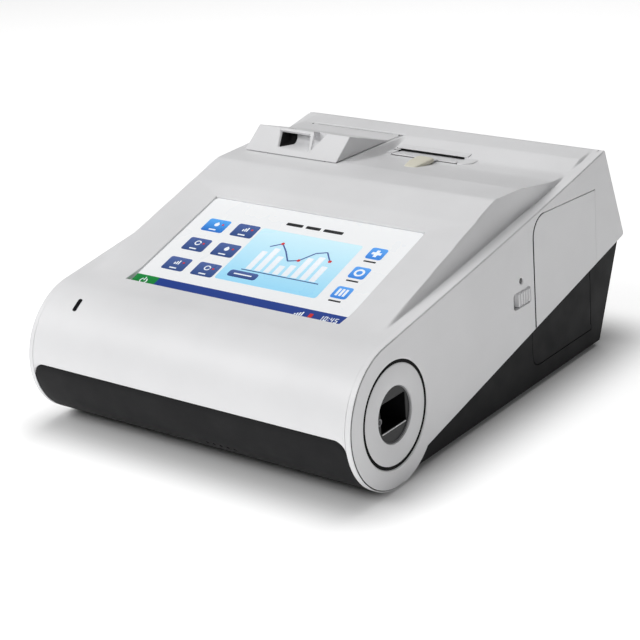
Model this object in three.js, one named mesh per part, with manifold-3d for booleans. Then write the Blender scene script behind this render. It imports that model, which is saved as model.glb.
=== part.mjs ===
// Portable blood gas analyzer: a wedge-shaped bench instrument with a sloped touch screen,
// a round front edge, a paper printer under a hinged cover, a slot for the test cartridge
// and a side door over the fluid pack. Millimetres, +X right, +Y back, +Z up.
import * as THREE from 'three';
import { mergeVertices } from 'three/addons/utils/BufferGeometryUtils.js';
import Module from 'manifold-3d';

// The sides lean in by sideLeanShare of their height
const sideLeanShare = 0.0335;

// Walls and clearances
const sidePlateThick = 3.1;
const shellWall = 2.4;
const trayWall = 2.5;
const fit = 0.3;
const slideFit = 0.4;
const cutOver = 8;
const weld = 0.0005;

// Side outline: a ring at the front, a rising band, and a rear edge that leans back to a knee
const ringRadius = 42.4;
const ringFloorGap = 1.1;
const slopeRun = 129.8;
const bandBendInset = 101.2;
const bandBendDrop = 14;
const rearTopInset = 24.3;
const rearLip = 2.1;
const kneeHeight = 67.2;
const lowerEdgeFootAngle = THREE.MathUtils.degToRad(-44.55);
const ringSteps = 40;
const bandSteps = 8;

// Raised centre: it starts behind the ring, climbs to the ridge and runs flat to the back
const crownStartSetback = 6.9;
const crownMeetRun = 2.1;
const deckHeight = 127.9;
const crownFrontInset = 13;
const crownRidgeInset = 16.3;
const crownRearInset = 11.3;
const crownFlareRun = 44.3;
const crownFoot = 2.2;
const crownRoot = 10;
const bezelRim = 1.2;
const rearBezelRun = 10.6;

// Valley on the right of the deck, where the cartridge goes in
const valleyGap = 0.45;
const valleySetback = 25.3;
const valleyFallRun = 40;
const valleyFloorRun = 17;
const valleyRiseRun = 17;
const valleyDepth = 5.6;
const rearDeckRun = 19.2;

// Touch screen
const screenWidth = 155.6;
const screenLength = 93;
const screenSetback = 6.8;
const screenRise = 40.8;
const screenSink = 3.3;
const screenLip = 1;
const glassThick = 1.8;
const displayThick = 6;
const displayMargin = 4;

// Joint between the white shell and the black tray, hidden behind the side panels
const seamLift = 3;
const seamNoseZ = 16.5;
const seamNoseGap = 1;
const lipRun = 6;
const frontSeamAngle = THREE.MathUtils.degToRad(180.6);
const shellNoseGap = 3.2;

// Black tray and front panel
const trayBottom = 3;
const trayRearInset = 30.3;
const trayRearLeanShare = 0.455;
const frontPanelWall = 2.5;
const frontPanelEndAngle = THREE.MathUtils.degToRad(268);
const bossRadius = 4.5;

// Trim discs in the rings, and the scanner behind the right one
const ringRim = 11.1;
const discEdge = 2.3;
const discDome = 0.5;
const windowRadius = 16.3;
const tunnelRecess = 1.8;
const tunnelDepth = 21.2;
const tunnelWidth = 23;
const tunnelHeight = 20;
const tunnelFloor = 3;
const scanGlassThick = 1.2;
const scanGlassTurn = THREE.MathUtils.degToRad(14);
const scannerDepth = 29;
const scannerSize = 30;
const scanLampRadius = 1.4;
const scanLampThick = 0.8;
const scanLampOffset = 13.8;

// Status light on the front edge
const lightWidth = 3.5;
const lightLength = 9.4;
const lightThick = 2.4;
const lightInset = 28.7;
const lightAngle = THREE.MathUtils.degToRad(125.1);

// Speaker behind the front panel
const speakerX = 19;
const speakerAngle = THREE.MathUtils.degToRad(228);
const speakerRadius = 14;
const speakerThick = 7;
const speakerHoleRadius = 1;
const speakerHolePitch = 5;
const speakerHolesPerRow = 5;
const speakerRowAngle = THREE.MathUtils.degToRad(5.5);

// Printer: opening, cover, roller, head and paper
const bayInset = 23.5;
const bayWidth = 68;
const bayFrontSetback = 25.3;
const bayLength = 69.5;
const bayWall = 1.6;
const bayDepth = 49;
const coverOverlap = 2.65;
const coverFrontOverlap = 4;
const coverRidgeRun = 17;
const coverRidgeRise = 13.1;
const coverFallRun = 41;
const coverFallDrop = 12.1;
const coverShelf = 1;
const coverWall = 2;
const hingeRadius = 1.9;
const hingeSetback = 3.7;
const hingeDrop = 1.6;
const hingePinRadius = 0.8;
const hingePinLength = 9;
const hingeHole = 1;
const exitInset = 5.4;
const exitHeight = 1;

// Finger pocket and release lever in the cover
const pocketInset = 20.65;
const pocketWidth = 28.5;
const pocketFlare = 8;
const pocketFloorRise = 3;
const pocketDepth = 24;
const leverBar = 1.8;
const leverSide = 1.7;
const leverFrontRun = 13;

// Roller, head and roll, measured from the front edge of the bay
const rollerRadius = 4.4;
const rollerSetback = 6;
const rollerDrop = 5.4;
const rollerInset = 5.5;
const rollerAxle = 1.5;
const earThick = 2;
const earHalf = 4.5;
const earDrop = 4;
const headGap = 0.6;
const headDepth = 8;
const headHeight = 12;
const rollRadius = 20;
const rollInset = 5;
const rollCore = 6.5;
const rollSetback = 44;

// Cartridge path: it comes out of the deck towards the front and slightly up
const cartridgeTilt = THREE.MathUtils.degToRad(8);
const cartridgeWidth = 50;
const cartridgeThick = 3.6;
const cartridgeInside = 42;
const tongueWidth = 36;
const tongueLength = 9;
const portOffset = 5;
const portWidth = 13;
const portLength = 22;
const portRise = 1.6;
const portHole = 1.5;
const neckInset = 2;
const mouthSetback = 11.7;
const mouthLift = 0.8;
const slotWidth = 67;
const slotLength = 18.5;
const slotHeight = 3.6;
const slotShift = 1.5;
const slotInset = 1.4;
const slotRightRun = 75;
const guideWall = 1.5;
const guideStart = 14;
const guideRail = 1;
const contactWidth = 32;
const contactLength = 22;
const contactHeight = 6;

// Side door over the fluid pack, hinged at its rear edge
const doorFrontInset = 117.2;
const doorLength = 78.3;
const doorTopDrop = 1.8;
const doorTopFall = 3.2;
const doorBottom = 14.5;
const doorCorner = 13;
const doorFoot = 8;
const doorGap = 0.35;
const doorHingeGap = 0.5;
const doorPanelThick = 2.5;
const doorPanelSetback = 3.1;
const doorPinRadius = 0.8;
const doorPinHole = 1.1;
const doorPinOver = 4;
const knuckleRise = 6;
const knuckleHeight = 8;
const cornerSteps = 6;

// Latch in front of the door
const latchWindowLength = 17.3;
const latchWindowHeight = 10.6;
const latchWindowSetback = 6.9;
const latchWindowBottom = 60.3;
const latchTravel = 3.5;
const latchCapThick = 2.4;
const latchRibs = 4;
const latchRibDepth = 0.7;
const latchTail = 6;
const latchLampRadius = 1.7;
const latchLampRise = 5.8;
const latchLampSetback = 16.1;

// Fluid pack and its bay
const packWidth = 74;
const packLength = 51;
const packHeadroom = 27.9;
const packDoorGap = 7.1;
const packFloor = 16;
const packSetback = 6.7;
const packBayWall = 1.8;
const packBayClear = 1.2;
const mouthFlange = 2;
const mouthMargin = 1.6;
const nozzleRadius = 3;
const nozzleLength = 5;

// Pump beside the pack bay
const pumpSetback = 28;
const pumpZ = 60;
const pumpSize = 40;
const pumpDepth = 16;
const pumpMotorRadius = 14;
const pumpMotorLength = 14.4;
const pumpRotorRadius = 13;
const pumpRollerRadius = 3.4;
const pumpRotorDepth = 11;
const pumpShaftRadius = 2.5;

// Electronics
const batteryGap = 8;
const boardRightGap = 2;
const boardFrontInset = 67.5;
const boardThick = 1.6;
const boardUnder = 13;
const boardPostInset = 6;
const boardPostRadius = 3;
const supplyRightGap = 14;
const supplyLength = 70;
const supplyHeight = 31;
const supplyInset = 4;
const supplySetback = 30;

// Battery and the lid under it
const batteryWidth = 42;
const batteryLength = 76;
const batteryHeight = 40;
const batteryInset = 13;
const batteryFrontInset = 115.5;
const lidMargin = 2;
const lidThick = 2.2;

// Sockets in an alcove of the rear wall
const alcoveRightRun = 4;
const alcoveFloor = 12.9;
const alcoveHeight = 31.1;
const alcoveBackInset = 34.5;
const alcoveWall = 2;
const usbWidth = 14.4;
const usbHeight = 7;
const usbDepth = 17;
const usbInset = 10;
const usbPitch = 16;
const usbPorts = 2;
const usbRim = 0.9;
const usbHollow = 11;
const lanGap = 18;
const inletGap = 26;
const lanWidth = 16;
const lanHeight = 13.5;
const lanDepth = 18;
const lanRim = 2.1;
const lanHollow = 12;
const inletInset = 20;
const inletZ = 30;
const inletWidth = 27;
const inletHeight = 20;
const inletDepth = 20;
const inletRim = 1.8;
const inletHollow = 15;
const inletFlange = 2;
const inletFlangeThick = 2;
const pinWidth = 2;
const pinHeight = 4;
const pinLength = 13;
const pinPitch = 7;
const pinOffset = 2;
const studInset = 17;
const studZ = 34;
const studRadius = 3;
const studLength = 12;

// Feet and case screws
const footRadius = 8;
const footInset = 27;
const footFrontInset = 62;
const footRearInset = 52;
const screwInset = 59;
const screwOuterInset = 29;
const screwFrontInset = 53.5;
const screwRearInset = 39.5;
const screwHeadRadius = 2.8;
const screwHeadThick = 1.6;
const screwShaftRadius = 1.5;
const screwLength = 10;
const screwRise = 13;

// Derived places; the width and the depth follow from what stands side by side and behind each other
const ridgeInset = valleySetback + valleyFallRun + valleyFloorRun + valleyRiseRun
  + rearDeckRun + rearTopInset;
const bodyDepth = ringRadius + slopeRun + ridgeInset;
const slotSpan = valleyGap + slotInset + slotWidth + slotRightRun;
const bodyWidth = bayInset + bayWidth + coverOverlap + slotSpan;
const frontY = -bodyDepth / 2;
const backY = bodyDepth / 2;
const halfWidth = bodyWidth / 2;
const plateInner = halfWidth - sidePlateThick;
const shellHalf = plateInner - fit;
const ringY = frontY + ringRadius;
const ringZ = ringFloorGap + ringRadius;
const rearTop = [backY - rearTopInset, deckHeight + rearLip];
const knee = [backY, kneeHeight];
const discRadius = ringRadius - ringRim;
const bayFloorZ = deckHeight - bayDepth;
const ridgeY = backY - ridgeInset;
const crownHalfFront = halfWidth - crownFrontInset;
const crownHalfRidge = halfWidth - crownRidgeInset;
const crownHalfRear = halfWidth - crownRearInset;
const bayLeft = -halfWidth + bayInset;
const bayRight = bayLeft + bayWidth;
const bayX = (bayLeft + bayRight) / 2;
const coverLeft = bayLeft - coverOverlap;
const coverRight = bayRight + coverOverlap;
const valleyLeftX = coverRight + valleyGap;
const packFrontX = shellHalf - doorPanelThick - packDoorGap;
const packBayLeft = packFrontX - packWidth - nozzleLength - packBayClear - packBayWall;
const boardRightX = packBayLeft - boardRightGap;
const boardLeftX = -halfWidth + batteryInset + batteryWidth + batteryGap;
const supplyWidth = boardRightX - boardLeftX - supplyInset - supplyRightGap;
const alcoveRightX = boardRightX + alcoveRightRun;
const inletX = alcoveRightX - inletInset;
const lanX = inletX - inletGap;
const usbFirstX = lanX - lanGap - (usbPorts - 1) * usbPitch;
const alcoveLeftX = usbFirstX - usbInset;
const studX = alcoveLeftX + studInset;
const slotX = valleyLeftX + slotInset + slotWidth / 2;
const cartridgeX = slotX - slotShift;
const tunnelFront = halfWidth - tunnelRecess;
const tunnelBack = tunnelFront - tunnelDepth;

// Joining and cutting
const library = await Module();
library.setup();

function signedVolume(positions, index) {
  let sum = 0;
  const a = new THREE.Vector3();
  const b = new THREE.Vector3();
  const c = new THREE.Vector3();
  for (let i = 0; i < index.length; i += 3) {
    a.fromArray(positions, index[i] * 3);
    b.fromArray(positions, index[i + 1] * 3);
    c.fromArray(positions, index[i + 2] * 3);
    sum += a.dot(b.cross(c));
  }
  return sum;
}

function solidOf(geometry) {
  const bare = geometry.clone();
  bare.deleteAttribute('normal');
  bare.deleteAttribute('uv');
  const merged = mergeVertices(bare, weld);
  const positions = new Float32Array(merged.attributes.position.array);
  const index = new Uint32Array(merged.index.array);
  if (signedVolume(positions, index) < 0) index.reverse();
  const mesh = new library.Mesh({ numProp: 3, vertProperties: positions, triVerts: index });
  return new library.Manifold(mesh);
}

function cut(solid, ...tools) {
  return tools.reduce((rest, tool) => rest.subtract(tool), solid);
}

function join(solid, ...others) {
  return others.reduce((sum, other) => sum.add(other), solid);
}

function geometryOf(solid) {
  const mesh = solid.getMesh();
  const geometry = new THREE.BufferGeometry();
  geometry.setAttribute('position', new THREE.BufferAttribute(new Float32Array(mesh.vertProperties), 3));
  geometry.setIndex(new THREE.BufferAttribute(new Uint32Array(mesh.triVerts), 1));
  geometry.computeVertexNormals();
  return geometry;
}

// Shapes: outlines are lists of points; an outline across X holds (y, z), across Y (x, z), across Z (x, y)
const axisTurn = {
  x: new THREE.Matrix4().set(0, 0, 1, 0, 1, 0, 0, 0, 0, 1, 0, 0, 0, 0, 0, 1),
  y: new THREE.Matrix4().set(1, 0, 0, 0, 0, 0, -1, 0, 0, 1, 0, 0, 0, 0, 0, 1),
  z: new THREE.Matrix4(),
};

function prismShape(outline, axis, from, to) {
  const shape = new THREE.Shape(outline.map(([a, b]) => new THREE.Vector2(a, b)));
  const geometry = new THREE.ExtrudeGeometry(shape, { depth: to - from, bevelEnabled: false });
  geometry.translate(0, 0, axis === 'y' ? -to : from);
  return geometry.applyMatrix4(axisTurn[axis]);
}

function prism(outline, axis, from, to) {
  return solidOf(prismShape(outline, axis, from, to));
}

function boxShape(low, high) {
  const geometry = new THREE.BoxGeometry(high[0] - low[0], high[1] - low[1], high[2] - low[2]);
  return geometry.translate((high[0] + low[0]) / 2, (high[1] + low[1]) / 2, (high[2] + low[2]) / 2);
}

function box(low, high) {
  return solidOf(boxShape(low, high));
}

// A round bar along an axis; the centre holds the other two coordinates in X, Y, Z order
function rodShape(axis, radius, centre, from, to, sides = 16) {
  const geometry = new THREE.CylinderGeometry(radius, radius, to - from, sides);
  if (axis === 'x') geometry.rotateZ(-Math.PI / 2);
  if (axis === 'z') geometry.rotateX(Math.PI / 2);
  const middle = (from + to) / 2;
  if (axis === 'x') return geometry.translate(middle, centre[0], centre[1]);
  if (axis === 'y') return geometry.translate(centre[0], middle, centre[1]);
  return geometry.translate(centre[0], centre[1], middle);
}

function rod(axis, radius, centre, from, to, sides) {
  return solidOf(rodShape(axis, radius, centre, from, to, sides));
}

// A body through rings of equal count; each ring turns right-handed towards the next one
function loft(rings) {
  const count = rings[0].length;
  const index = [];
  for (let k = 1; k + 1 < count; k += 1) {
    const last = (rings.length - 1) * count;
    index.push(0, k + 1, k, last, last + k, last + k + 1);
  }
  for (let r = 0; r + 1 < rings.length; r += 1) {
    for (let k = 0; k < count; k += 1) {
      const a = r * count + k;
      const b = r * count + ((k + 1) % count);
      index.push(a, b, b + count, a, b + count, a + count);
    }
  }
  const geometry = new THREE.BufferGeometry();
  geometry.setAttribute('position', new THREE.Float32BufferAttribute(rings.flat(2), 3));
  geometry.setIndex(index);
  return solidOf(geometry);
}

// The sides of the instrument lean in, so what lies in them is sheared with its height
function lean(geometry, side) {
  const shear = new THREE.Matrix4().makeShear(0, 0, 0, 0, -side * sideLeanShare, 0);
  return geometry.applyMatrix4(shear);
}

function sideSlab(outline, inner, outer, side) {
  const ends = [side * inner, side * outer].sort((a, b) => a - b);
  return solidOf(lean(prismShape(outline, 'x', ...ends), side));
}

function sideRod(radius, centre, inner, outer, side, sides) {
  const ends = [side * inner, side * outer].sort((a, b) => a - b);
  return solidOf(lean(rodShape('x', radius, centre, ...ends, sides), side));
}

// A prism across the whole body whose ends lean in like its sides
function leaningBody(outline, half) {
  return join(sideSlab(outline, 0, half, 1), sideSlab(outline, 0, half, -1));
}

function arc(centre, radius, from, to, steps) {
  return Array.from({ length: steps + 1 }, (_, i) => {
    const angle = from + ((to - from) * i) / steps;
    return [centre[0] + radius * Math.cos(angle), centre[1] + radius * Math.sin(angle)];
  });
}

// Where the line through a and b meets the line through c and d
function meet(a, b, c, d) {
  const turn = (a[0] - b[0]) * (c[1] - d[1]) - (a[1] - b[1]) * (c[0] - d[0]);
  const p = a[0] * b[1] - a[1] * b[0];
  const q = c[0] * d[1] - c[1] * d[0];
  return [
    (p * (c[0] - d[0]) - (a[0] - b[0]) * q) / turn,
    (p * (c[1] - d[1]) - (a[1] - b[1]) * q) / turn,
  ];
}

// A closed outline drawn in by a distance along its edges
function inset(outline, distance) {
  const next = (i) => outline[(i + 1) % outline.length];
  const area = outline.reduce((sum, p, i) => sum + p[0] * next(i)[1] - p[1] * next(i)[0], 0);
  const side = Math.sign(area) * distance;
  const edges = outline.map((p, i) => {
    const q = next(i);
    const length = Math.hypot(q[0] - p[0], q[1] - p[1]);
    const shift = [(-(q[1] - p[1]) * side) / length, ((q[0] - p[0]) * side) / length];
    return [[p[0] + shift[0], p[1] + shift[1]], [q[0] + shift[0], q[1] + shift[1]]];
  });
  return outline.map((_, i) => {
    const before = edges[(i + outline.length - 1) % outline.length];
    return meet(before[0], before[1], edges[i][0], edges[i][1]);
  });
}

// Side outline
const bandBend = [backY - bandBendInset, deckHeight - bandBendDrop];
const bandReach = Math.hypot(bandBend[0] - ringY, bandBend[1] - ringZ);
const bandStartAngle = Math.atan2(bandBend[1] - ringZ, bandBend[0] - ringY)
  + Math.acos(ringRadius / bandReach);
const bandStart = arc([ringY, ringZ], ringRadius, bandStartAngle, bandStartAngle, 1)[0];
const bandCurve = new THREE.QuadraticBezierCurve(
  new THREE.Vector2(...bandStart),
  new THREE.Vector2(...bandBend),
  new THREE.Vector2(...rearTop),
);

function bandTop(y) {
  if (y <= bandStart[0]) return ringZ + Math.sqrt(ringRadius ** 2 - (y - ringY) ** 2);
  const a = bandStart[0] - 2 * bandBend[0] + rearTop[0];
  const b = bandBend[0] - bandStart[0];
  const t = (-b + Math.sqrt(b * b - a * (bandStart[0] - y))) / a;
  return bandCurve.getPoint(Math.min(t, 1)).y;
}

const ringFoot = arc([ringY, ringZ], ringRadius, lowerEdgeFootAngle, lowerEdgeFootAngle, 1)[0];

function lowerEdge(y) {
  const share = (y - ringFoot[0]) / (backY - ringFoot[0]);
  return ringFoot[1] + share * (kneeHeight - ringFoot[1]);
}

function plateOutline() {
  const ring = arc([ringY, ringZ], ringRadius, lowerEdgeFootAngle, bandStartAngle - 2 * Math.PI, ringSteps);
  const band = bandCurve.getPoints(bandSteps).slice(1).map((p) => [p.x, p.y]);
  return [...ring, ...band, knee];
}

// Screen frame: origin at the middle of the glass's front edge, Y up the slope
const screenFront = [ringY + screenSetback, ringZ + screenRise];
const screenTilt = Math.atan2(deckHeight - screenSink - screenFront[1], ridgeY - screenFront[0]);
const screenFrame = new THREE.Group();
screenFrame.position.set(0, screenFront[0], screenFront[1]);
screenFrame.rotation.x = screenTilt;
screenFrame.updateMatrixWorld();

function onScreen(along, up) {
  return [
    screenFront[0] + along * Math.cos(screenTilt) - up * Math.sin(screenTilt),
    screenFront[1] + along * Math.sin(screenTilt) + up * Math.cos(screenTilt),
  ];
}

// Raised centre
const crownMeet = [ringY + crownMeetRun, ringZ + ringRadius];
const crownStartY = ringY - crownStartSetback;
const valleyFront = ridgeY + valleySetback;
const valleyLow = valleyFront + valleyFallRun;
const valleyRear = valleyLow + valleyFloorRun;
const deckRear = valleyRear + valleyRiseRun;
const valleyFloor = deckHeight - valleyDepth;

function crownTop(y) {
  const share = (y - crownMeet[0]) / (ridgeY - crownMeet[0]);
  return crownMeet[1] + share * (deckHeight - crownMeet[1]);
}

function crownHalf(y) {
  const share = (y - crownStartY) / (ridgeY - crownStartY);
  return crownHalfFront + share * (crownHalfRidge - crownHalfFront);
}

function crown() {
  const flareY = ridgeY + crownFlareRun;
  const stations = [
    [crownStartY, crownHalfFront, crownTop(crownStartY)],
    [ridgeY, crownHalfRidge, deckHeight],
    [(ridgeY + flareY) / 2, (crownHalfRidge + 2 * crownHalfRear) / 3, deckHeight],
    [flareY, crownHalfRear, deckHeight],
    [deckRear, crownHalfRear, deckHeight],
    [rearTop[0], crownHalfRear, rearTop[1]],
  ];
  return loft(stations.map(([y, half, top]) => {
    const foot = Math.min(bandTop(y), top) - fit;
    const wide = Math.max(half, crownHalfFront) + crownFoot / 2;
    const root = foot - crownRoot;
    return [
      [-wide, y, root], [-wide, y, foot], [-half, y, top],
      [half, y, top], [wide, y, foot], [wide, y, root],
    ];
  }));
}

function bezelPocket() {
  const halfGlass = screenWidth / 2 + fit;
  const rearY = onScreen(screenLength, 0)[0] + rearBezelRun;
  const ring = (half, halfBack, front, back) => [
    [-half, ...front], [half, ...front], [halfBack, ...back], [-halfBack, ...back],
  ];
  const glassRing = (up) => ring(halfGlass, halfGlass, onScreen(-fit, up), onScreen(screenLength + fit, up));
  const openRing = (lift) => ring(
    crownHalfFront - bezelRim,
    crownHalf(rearY) - bezelRim,
    [crownMeet[0], bandTop(crownMeet[0]) + fit + lift],
    [rearY, crownTop(rearY) + lift],
  );
  return loft([glassRing(0), glassRing(screenLip), openRing(0), openRing(cutOver)]);
}

function valleyTool() {
  const top = rearTop[1] + cutOver;
  const outline = [
    [valleyFront, deckHeight], [valleyLow, valleyFloor], [valleyRear, valleyFloor],
    [deckRear, deckHeight], [deckRear, top], [valleyFront, top],
  ];
  return prism(outline, 'x', valleyLeftX, halfWidth + cutOver);
}

// The hollow of the centre, one outline left of the valley and one under it
function centreHollow() {
  const low = deckHeight / 2;
  const screenEnd = onScreen(screenLength + displayMargin + fit, -shellWall);
  const start = onScreen(-displayMargin, -shellWall);
  const deckUnder = deckHeight - shellWall;
  const back = rearTop[0] - shellWall;
  const slope = [
    [start[0], low], start, screenEnd,
    [ridgeY - rearBezelRun, crownTop(ridgeY - rearBezelRun) - 2 * shellWall],
    [ridgeY + shellWall, deckUnder],
  ];
  const tail = [[back, deckUnder], [back, low]];
  const dip = [
    [valleyFront - shellWall, deckUnder],
    [valleyLow - shellWall / 2, valleyFloor - shellWall],
    [valleyRear + shellWall / 2, valleyFloor - shellWall],
    [deckRear + shellWall / 2, deckUnder],
  ];
  const half = crownHalfRidge - shellWall;
  const split = valleyLeftX - shellWall / 2;
  return join(
    prism([...slope, ...tail], 'x', -half, split),
    prism([...slope, ...dip, ...tail], 'x', split - fit, half),
  );
}

// Door outlines in the side: gap widens the door into the hole it closes
const doorFrontY = backY - doorFrontInset;
const doorRearY = doorFrontY + doorLength;
const doorTop = bandTop(doorFrontY) - doorTopDrop;
const doorAxisY = doorRearY - sidePlateThick / 2;
const doorAxisX = halfWidth - sidePlateThick / 2;
const doorPanelRear = doorRearY - doorPanelSetback;

function doorCornerArc(gap) {
  const centre = [doorFrontY + doorCorner, doorTop - doorCorner];
  return arc(centre, doorCorner + gap, Math.PI, Math.PI / 2, cornerSteps);
}

function doorSkinOutline(gap, rear, below) {
  return [
    [doorFrontY - gap, lowerEdge(doorFrontY) - below],
    ...doorCornerArc(gap),
    [rear, doorTop - doorTopFall + gap],
    [rear, lowerEdge(rear) - below],
  ];
}

function doorPanelOutline(gap) {
  const foot = [doorFrontY + doorFoot, doorBottom + doorFoot];
  return [
    ...arc(foot, doorFoot + gap, 1.5 * Math.PI, Math.PI, cornerSteps),
    ...doorCornerArc(gap),
    [doorPanelRear + gap, doorTop - doorTopFall + gap],
    [doorPanelRear + gap, doorBottom - gap],
  ];
}

// Latch places
const latchFrontY = doorFrontY - latchWindowSetback - latchWindowLength;
const latchCapFront = latchFrontY + fit + latchTravel;
const latchCapRear = latchFrontY + latchWindowLength - fit;
const latchTop = latchWindowBottom + latchWindowHeight;
const latchLampY = doorFrontY - latchLampSetback;
const latchLampZ = latchTop + latchLampRise;

function rectangle(a0, b0, a1, b1) {
  return [[a0, b0], [a1, b0], [a1, b1], [a0, b1]];
}

// Printer places
const bayFront = ridgeY + bayFrontSetback;
const bayRear = bayFront + bayLength;
const pocketLeft = coverLeft + pocketInset;
const pocketRight = pocketLeft + pocketWidth;
const coverBottom = deckHeight + fit;
const hingeY = bayRear + hingeSetback;
const hingeZ = deckHeight - hingeDrop;
const coverFront = bayFront - coverFrontOverlap;
const coverRidge = [coverFront + coverRidgeRun, coverBottom + coverRidgeRise];
const coverFall = [coverRidge[0] + coverFallRun, coverRidge[1] - coverFallDrop];
const shelfFront = coverFall[0] - coverWall;
const shelfFloor = deckHeight - coverShelf;
const fallSlope = coverFallDrop / coverFallRun;
const grooveFront = hingeY - hingeRadius - 2 * coverWall - slideFit;
const grooveRear = hingeY + hingeRadius + slideFit;
const grooveFloor = hingeZ - hingeRadius - slideFit;

// Cartridge frame: origin at the slot mouth in the middle of the cartridge, Y out of the slot
const mouthY = valleyLow + mouthSetback;
const mouthZ = valleyFloor + mouthLift;
const cartridgeFrame = new THREE.Group();
cartridgeFrame.position.set(cartridgeX, mouthY, mouthZ);
cartridgeFrame.rotation.set(cartridgeTilt, 0, Math.PI, 'ZYX');
cartridgeFrame.updateMatrixWorld();

function inFrame(geometry, frame) {
  return solidOf(geometry.applyMatrix4(frame.matrixWorld));
}

function cartridgePath(from, to) {
  const half = cartridgeWidth / 2 + slideFit;
  const rise = cartridgeThick / 2 + slideFit;
  return inFrame(boxShape([-half, from, -rise], [half, to, rise]), cartridgeFrame);
}

const guideHalf = cartridgeWidth / 2 + slideFit + guideWall;
const guideUnder = cartridgeThick / 2 + slideFit + guideWall;
const guideEnd = cartridgeInside + slideFit + guideWall;

// White upper shell: the shoulders, the raised centre and everything cut into them
function upperHousing() {
  const noseFront = arc([ringY, ringZ], ringRadius, frontSeamAngle, frontSeamAngle, 1)[0];
  const lipY = backY - lipRun;
  const noseLow = seamNoseZ + seamNoseGap;
  const noseReach = Math.sqrt((ringRadius - frontPanelWall - shellNoseGap) ** 2 - (noseLow - ringZ) ** 2);
  const over = arc([ringY, ringZ], ringRadius, frontSeamAngle, bandStartAngle, ringSteps / 2);
  const band = bandCurve.getPoints(bandSteps).slice(1).map((p) => [p.x, p.y]);
  const outline = [
    ...over, ...band, knee,
    [lipY, lowerEdge(lipY)],
    [lipY, lowerEdge(lipY) + seamLift + fit],
    [ringFoot[0], ringFoot[1] + seamLift + fit],
    [ringY - noseReach, noseLow],
    [noseFront[0] + shellWall + slideFit, noseFront[1]],
  ];
  const hollow = leaningBody(inset(plateOutline(), shellWall), shellHalf - shellWall);
  const outer = join(leaningBody(outline, shellHalf), crown());
  const grooveBlock = box(
    [coverLeft - 2 * coverWall, bayRear + 2 * bayWall, grooveFloor - coverWall],
    [coverRight + coverWall, grooveRear + coverWall, deckHeight - shellWall],
  );
  const shell = join(cut(outer, bezelPocket(), valleyTool(), hollow, centreHollow()), grooveBlock);
  return cut(
    shell, glassOpening(), ...printerOpening(), ...cartridgeOpening(), ...sideOpenings(),
    inFrame(lightShape(fit), lightFrame),
  );
}

function glassOpening() {
  const half = screenWidth / 2 + fit;
  return inFrame(boxShape([-half, -fit, -cutOver], [half, screenLength + fit, fit]), screenFrame);
}

function printerOpening() {
  const low = grooveFloor - coverWall;
  const high = deckHeight + cutOver;
  const pinLeft = coverLeft - hingePinLength / 2;
  const pinRight = coverRight + hingePinLength / 2;
  return [
    box([bayLeft, bayFront, low], [bayRight, bayRear, high]),
    box([coverLeft - fit, grooveFront, grooveFloor], [coverRight + fit, grooveRear, high]),
    box([coverLeft - fit, shelfFront - slideFit, shelfFloor], [coverRight + fit, grooveFront + fit, high]),
    rod('x', hingeHole, [hingeY, hingeZ], pinLeft, pinRight, 10),
  ];
}

function cartridgeOpening() {
  const guide = boxShape(
    [-guideHalf - fit, -guideEnd - fit, -guideUnder - fit],
    [guideHalf + fit, -guideStart + fit, guideRail + fit],
  );
  return [cartridgePath(-cartridgeInside - slideFit, tongueLength), inFrame(guide, cartridgeFrame)];
}

function sideOpenings() {
  const inner = shellHalf - shellWall - cutOver;
  const outer = plateInner;
  const latchSlot = rectangle(
    latchCapFront - latchTail - latchTravel - fit, latchWindowBottom,
    doorFrontY, latchTop,
  );
  return [
    sideRod(windowRadius, [ringY, ringZ], inner, outer, 1, 32),
    sideSlab(doorPanelOutline(doorGap), inner, outer, 1),
    sideSlab(latchSlot, inner, outer, 1),
  ];
}

// Black tray under the shell, with its screw bosses, board posts and rear alcove
function trayOutline() {
  const lipY = backY - lipRun - fit;
  const rearFoot = [backY - trayRearInset, trayBottom];
  const rearHigh = [rearFoot[0] + trayRearLeanShare * kneeHeight, trayBottom + kneeHeight];
  const under = (y) => [y, lowerEdge(y) - fit];
  const rearTopCorner = meet(rearFoot, rearHigh, under(lipY), under(backY));
  const front = ringY + ringRadius * Math.cos(frontPanelEndAngle) + fit;
  return [
    [front, trayBottom], rearFoot, rearTopCorner, under(lipY),
    [lipY, lowerEdge(lipY) + seamLift],
    [ringFoot[0], ringFoot[1] + seamLift],
    [front, seamNoseZ - fit],
  ];
}

function trayHollow() {
  const outline = trayOutline();
  const raised = outline.map(([y, z], i) => (i < 2 ? [y, z] : [y, z + (i === 2 ? 0 : cutOver)]));
  const rearSlope = [
    outline[2][0] + trayRearLeanShare * 2 * cutOver, outline[2][1] + 2 * cutOver,
  ];
  const loop = [raised[0], raised[1], rearSlope, [raised[0][0], rearSlope[1]]];
  return leaningBody(inset(loop, trayWall), shellHalf - trayWall);
}

const alcoveBack = backY - alcoveBackInset;
const alcoveTop = alcoveFloor + alcoveHeight;
const boardTop = boardUnder + boardThick;
const boardFrontY = frontY + boardFrontInset;
const supplyX = boardLeftX + supplyInset + supplyWidth / 2;
const supplyY = boardFrontY + supplySetback + supplyLength / 2;
const batteryX = -halfWidth + batteryInset + batteryWidth / 2;
const batteryY = frontY + batteryFrontInset + batteryLength / 2;
const socketZ = boardTop + fit;
const boardRearY = alcoveBack - alcoveWall - fit;

const screwPlaces = [
  [-halfWidth + screwInset, frontY + screwFrontInset], [halfWidth - screwInset, frontY + screwFrontInset],
  [-halfWidth + screwOuterInset, backY - screwRearInset], [halfWidth - screwInset, backY - screwRearInset],
];

const footPlaces = [
  [-halfWidth + footInset, frontY + footFrontInset], [halfWidth - footInset, frontY + footFrontInset],
  [-halfWidth + footInset, backY - footRearInset], [halfWidth - footInset, backY - footRearInset],
];

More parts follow.
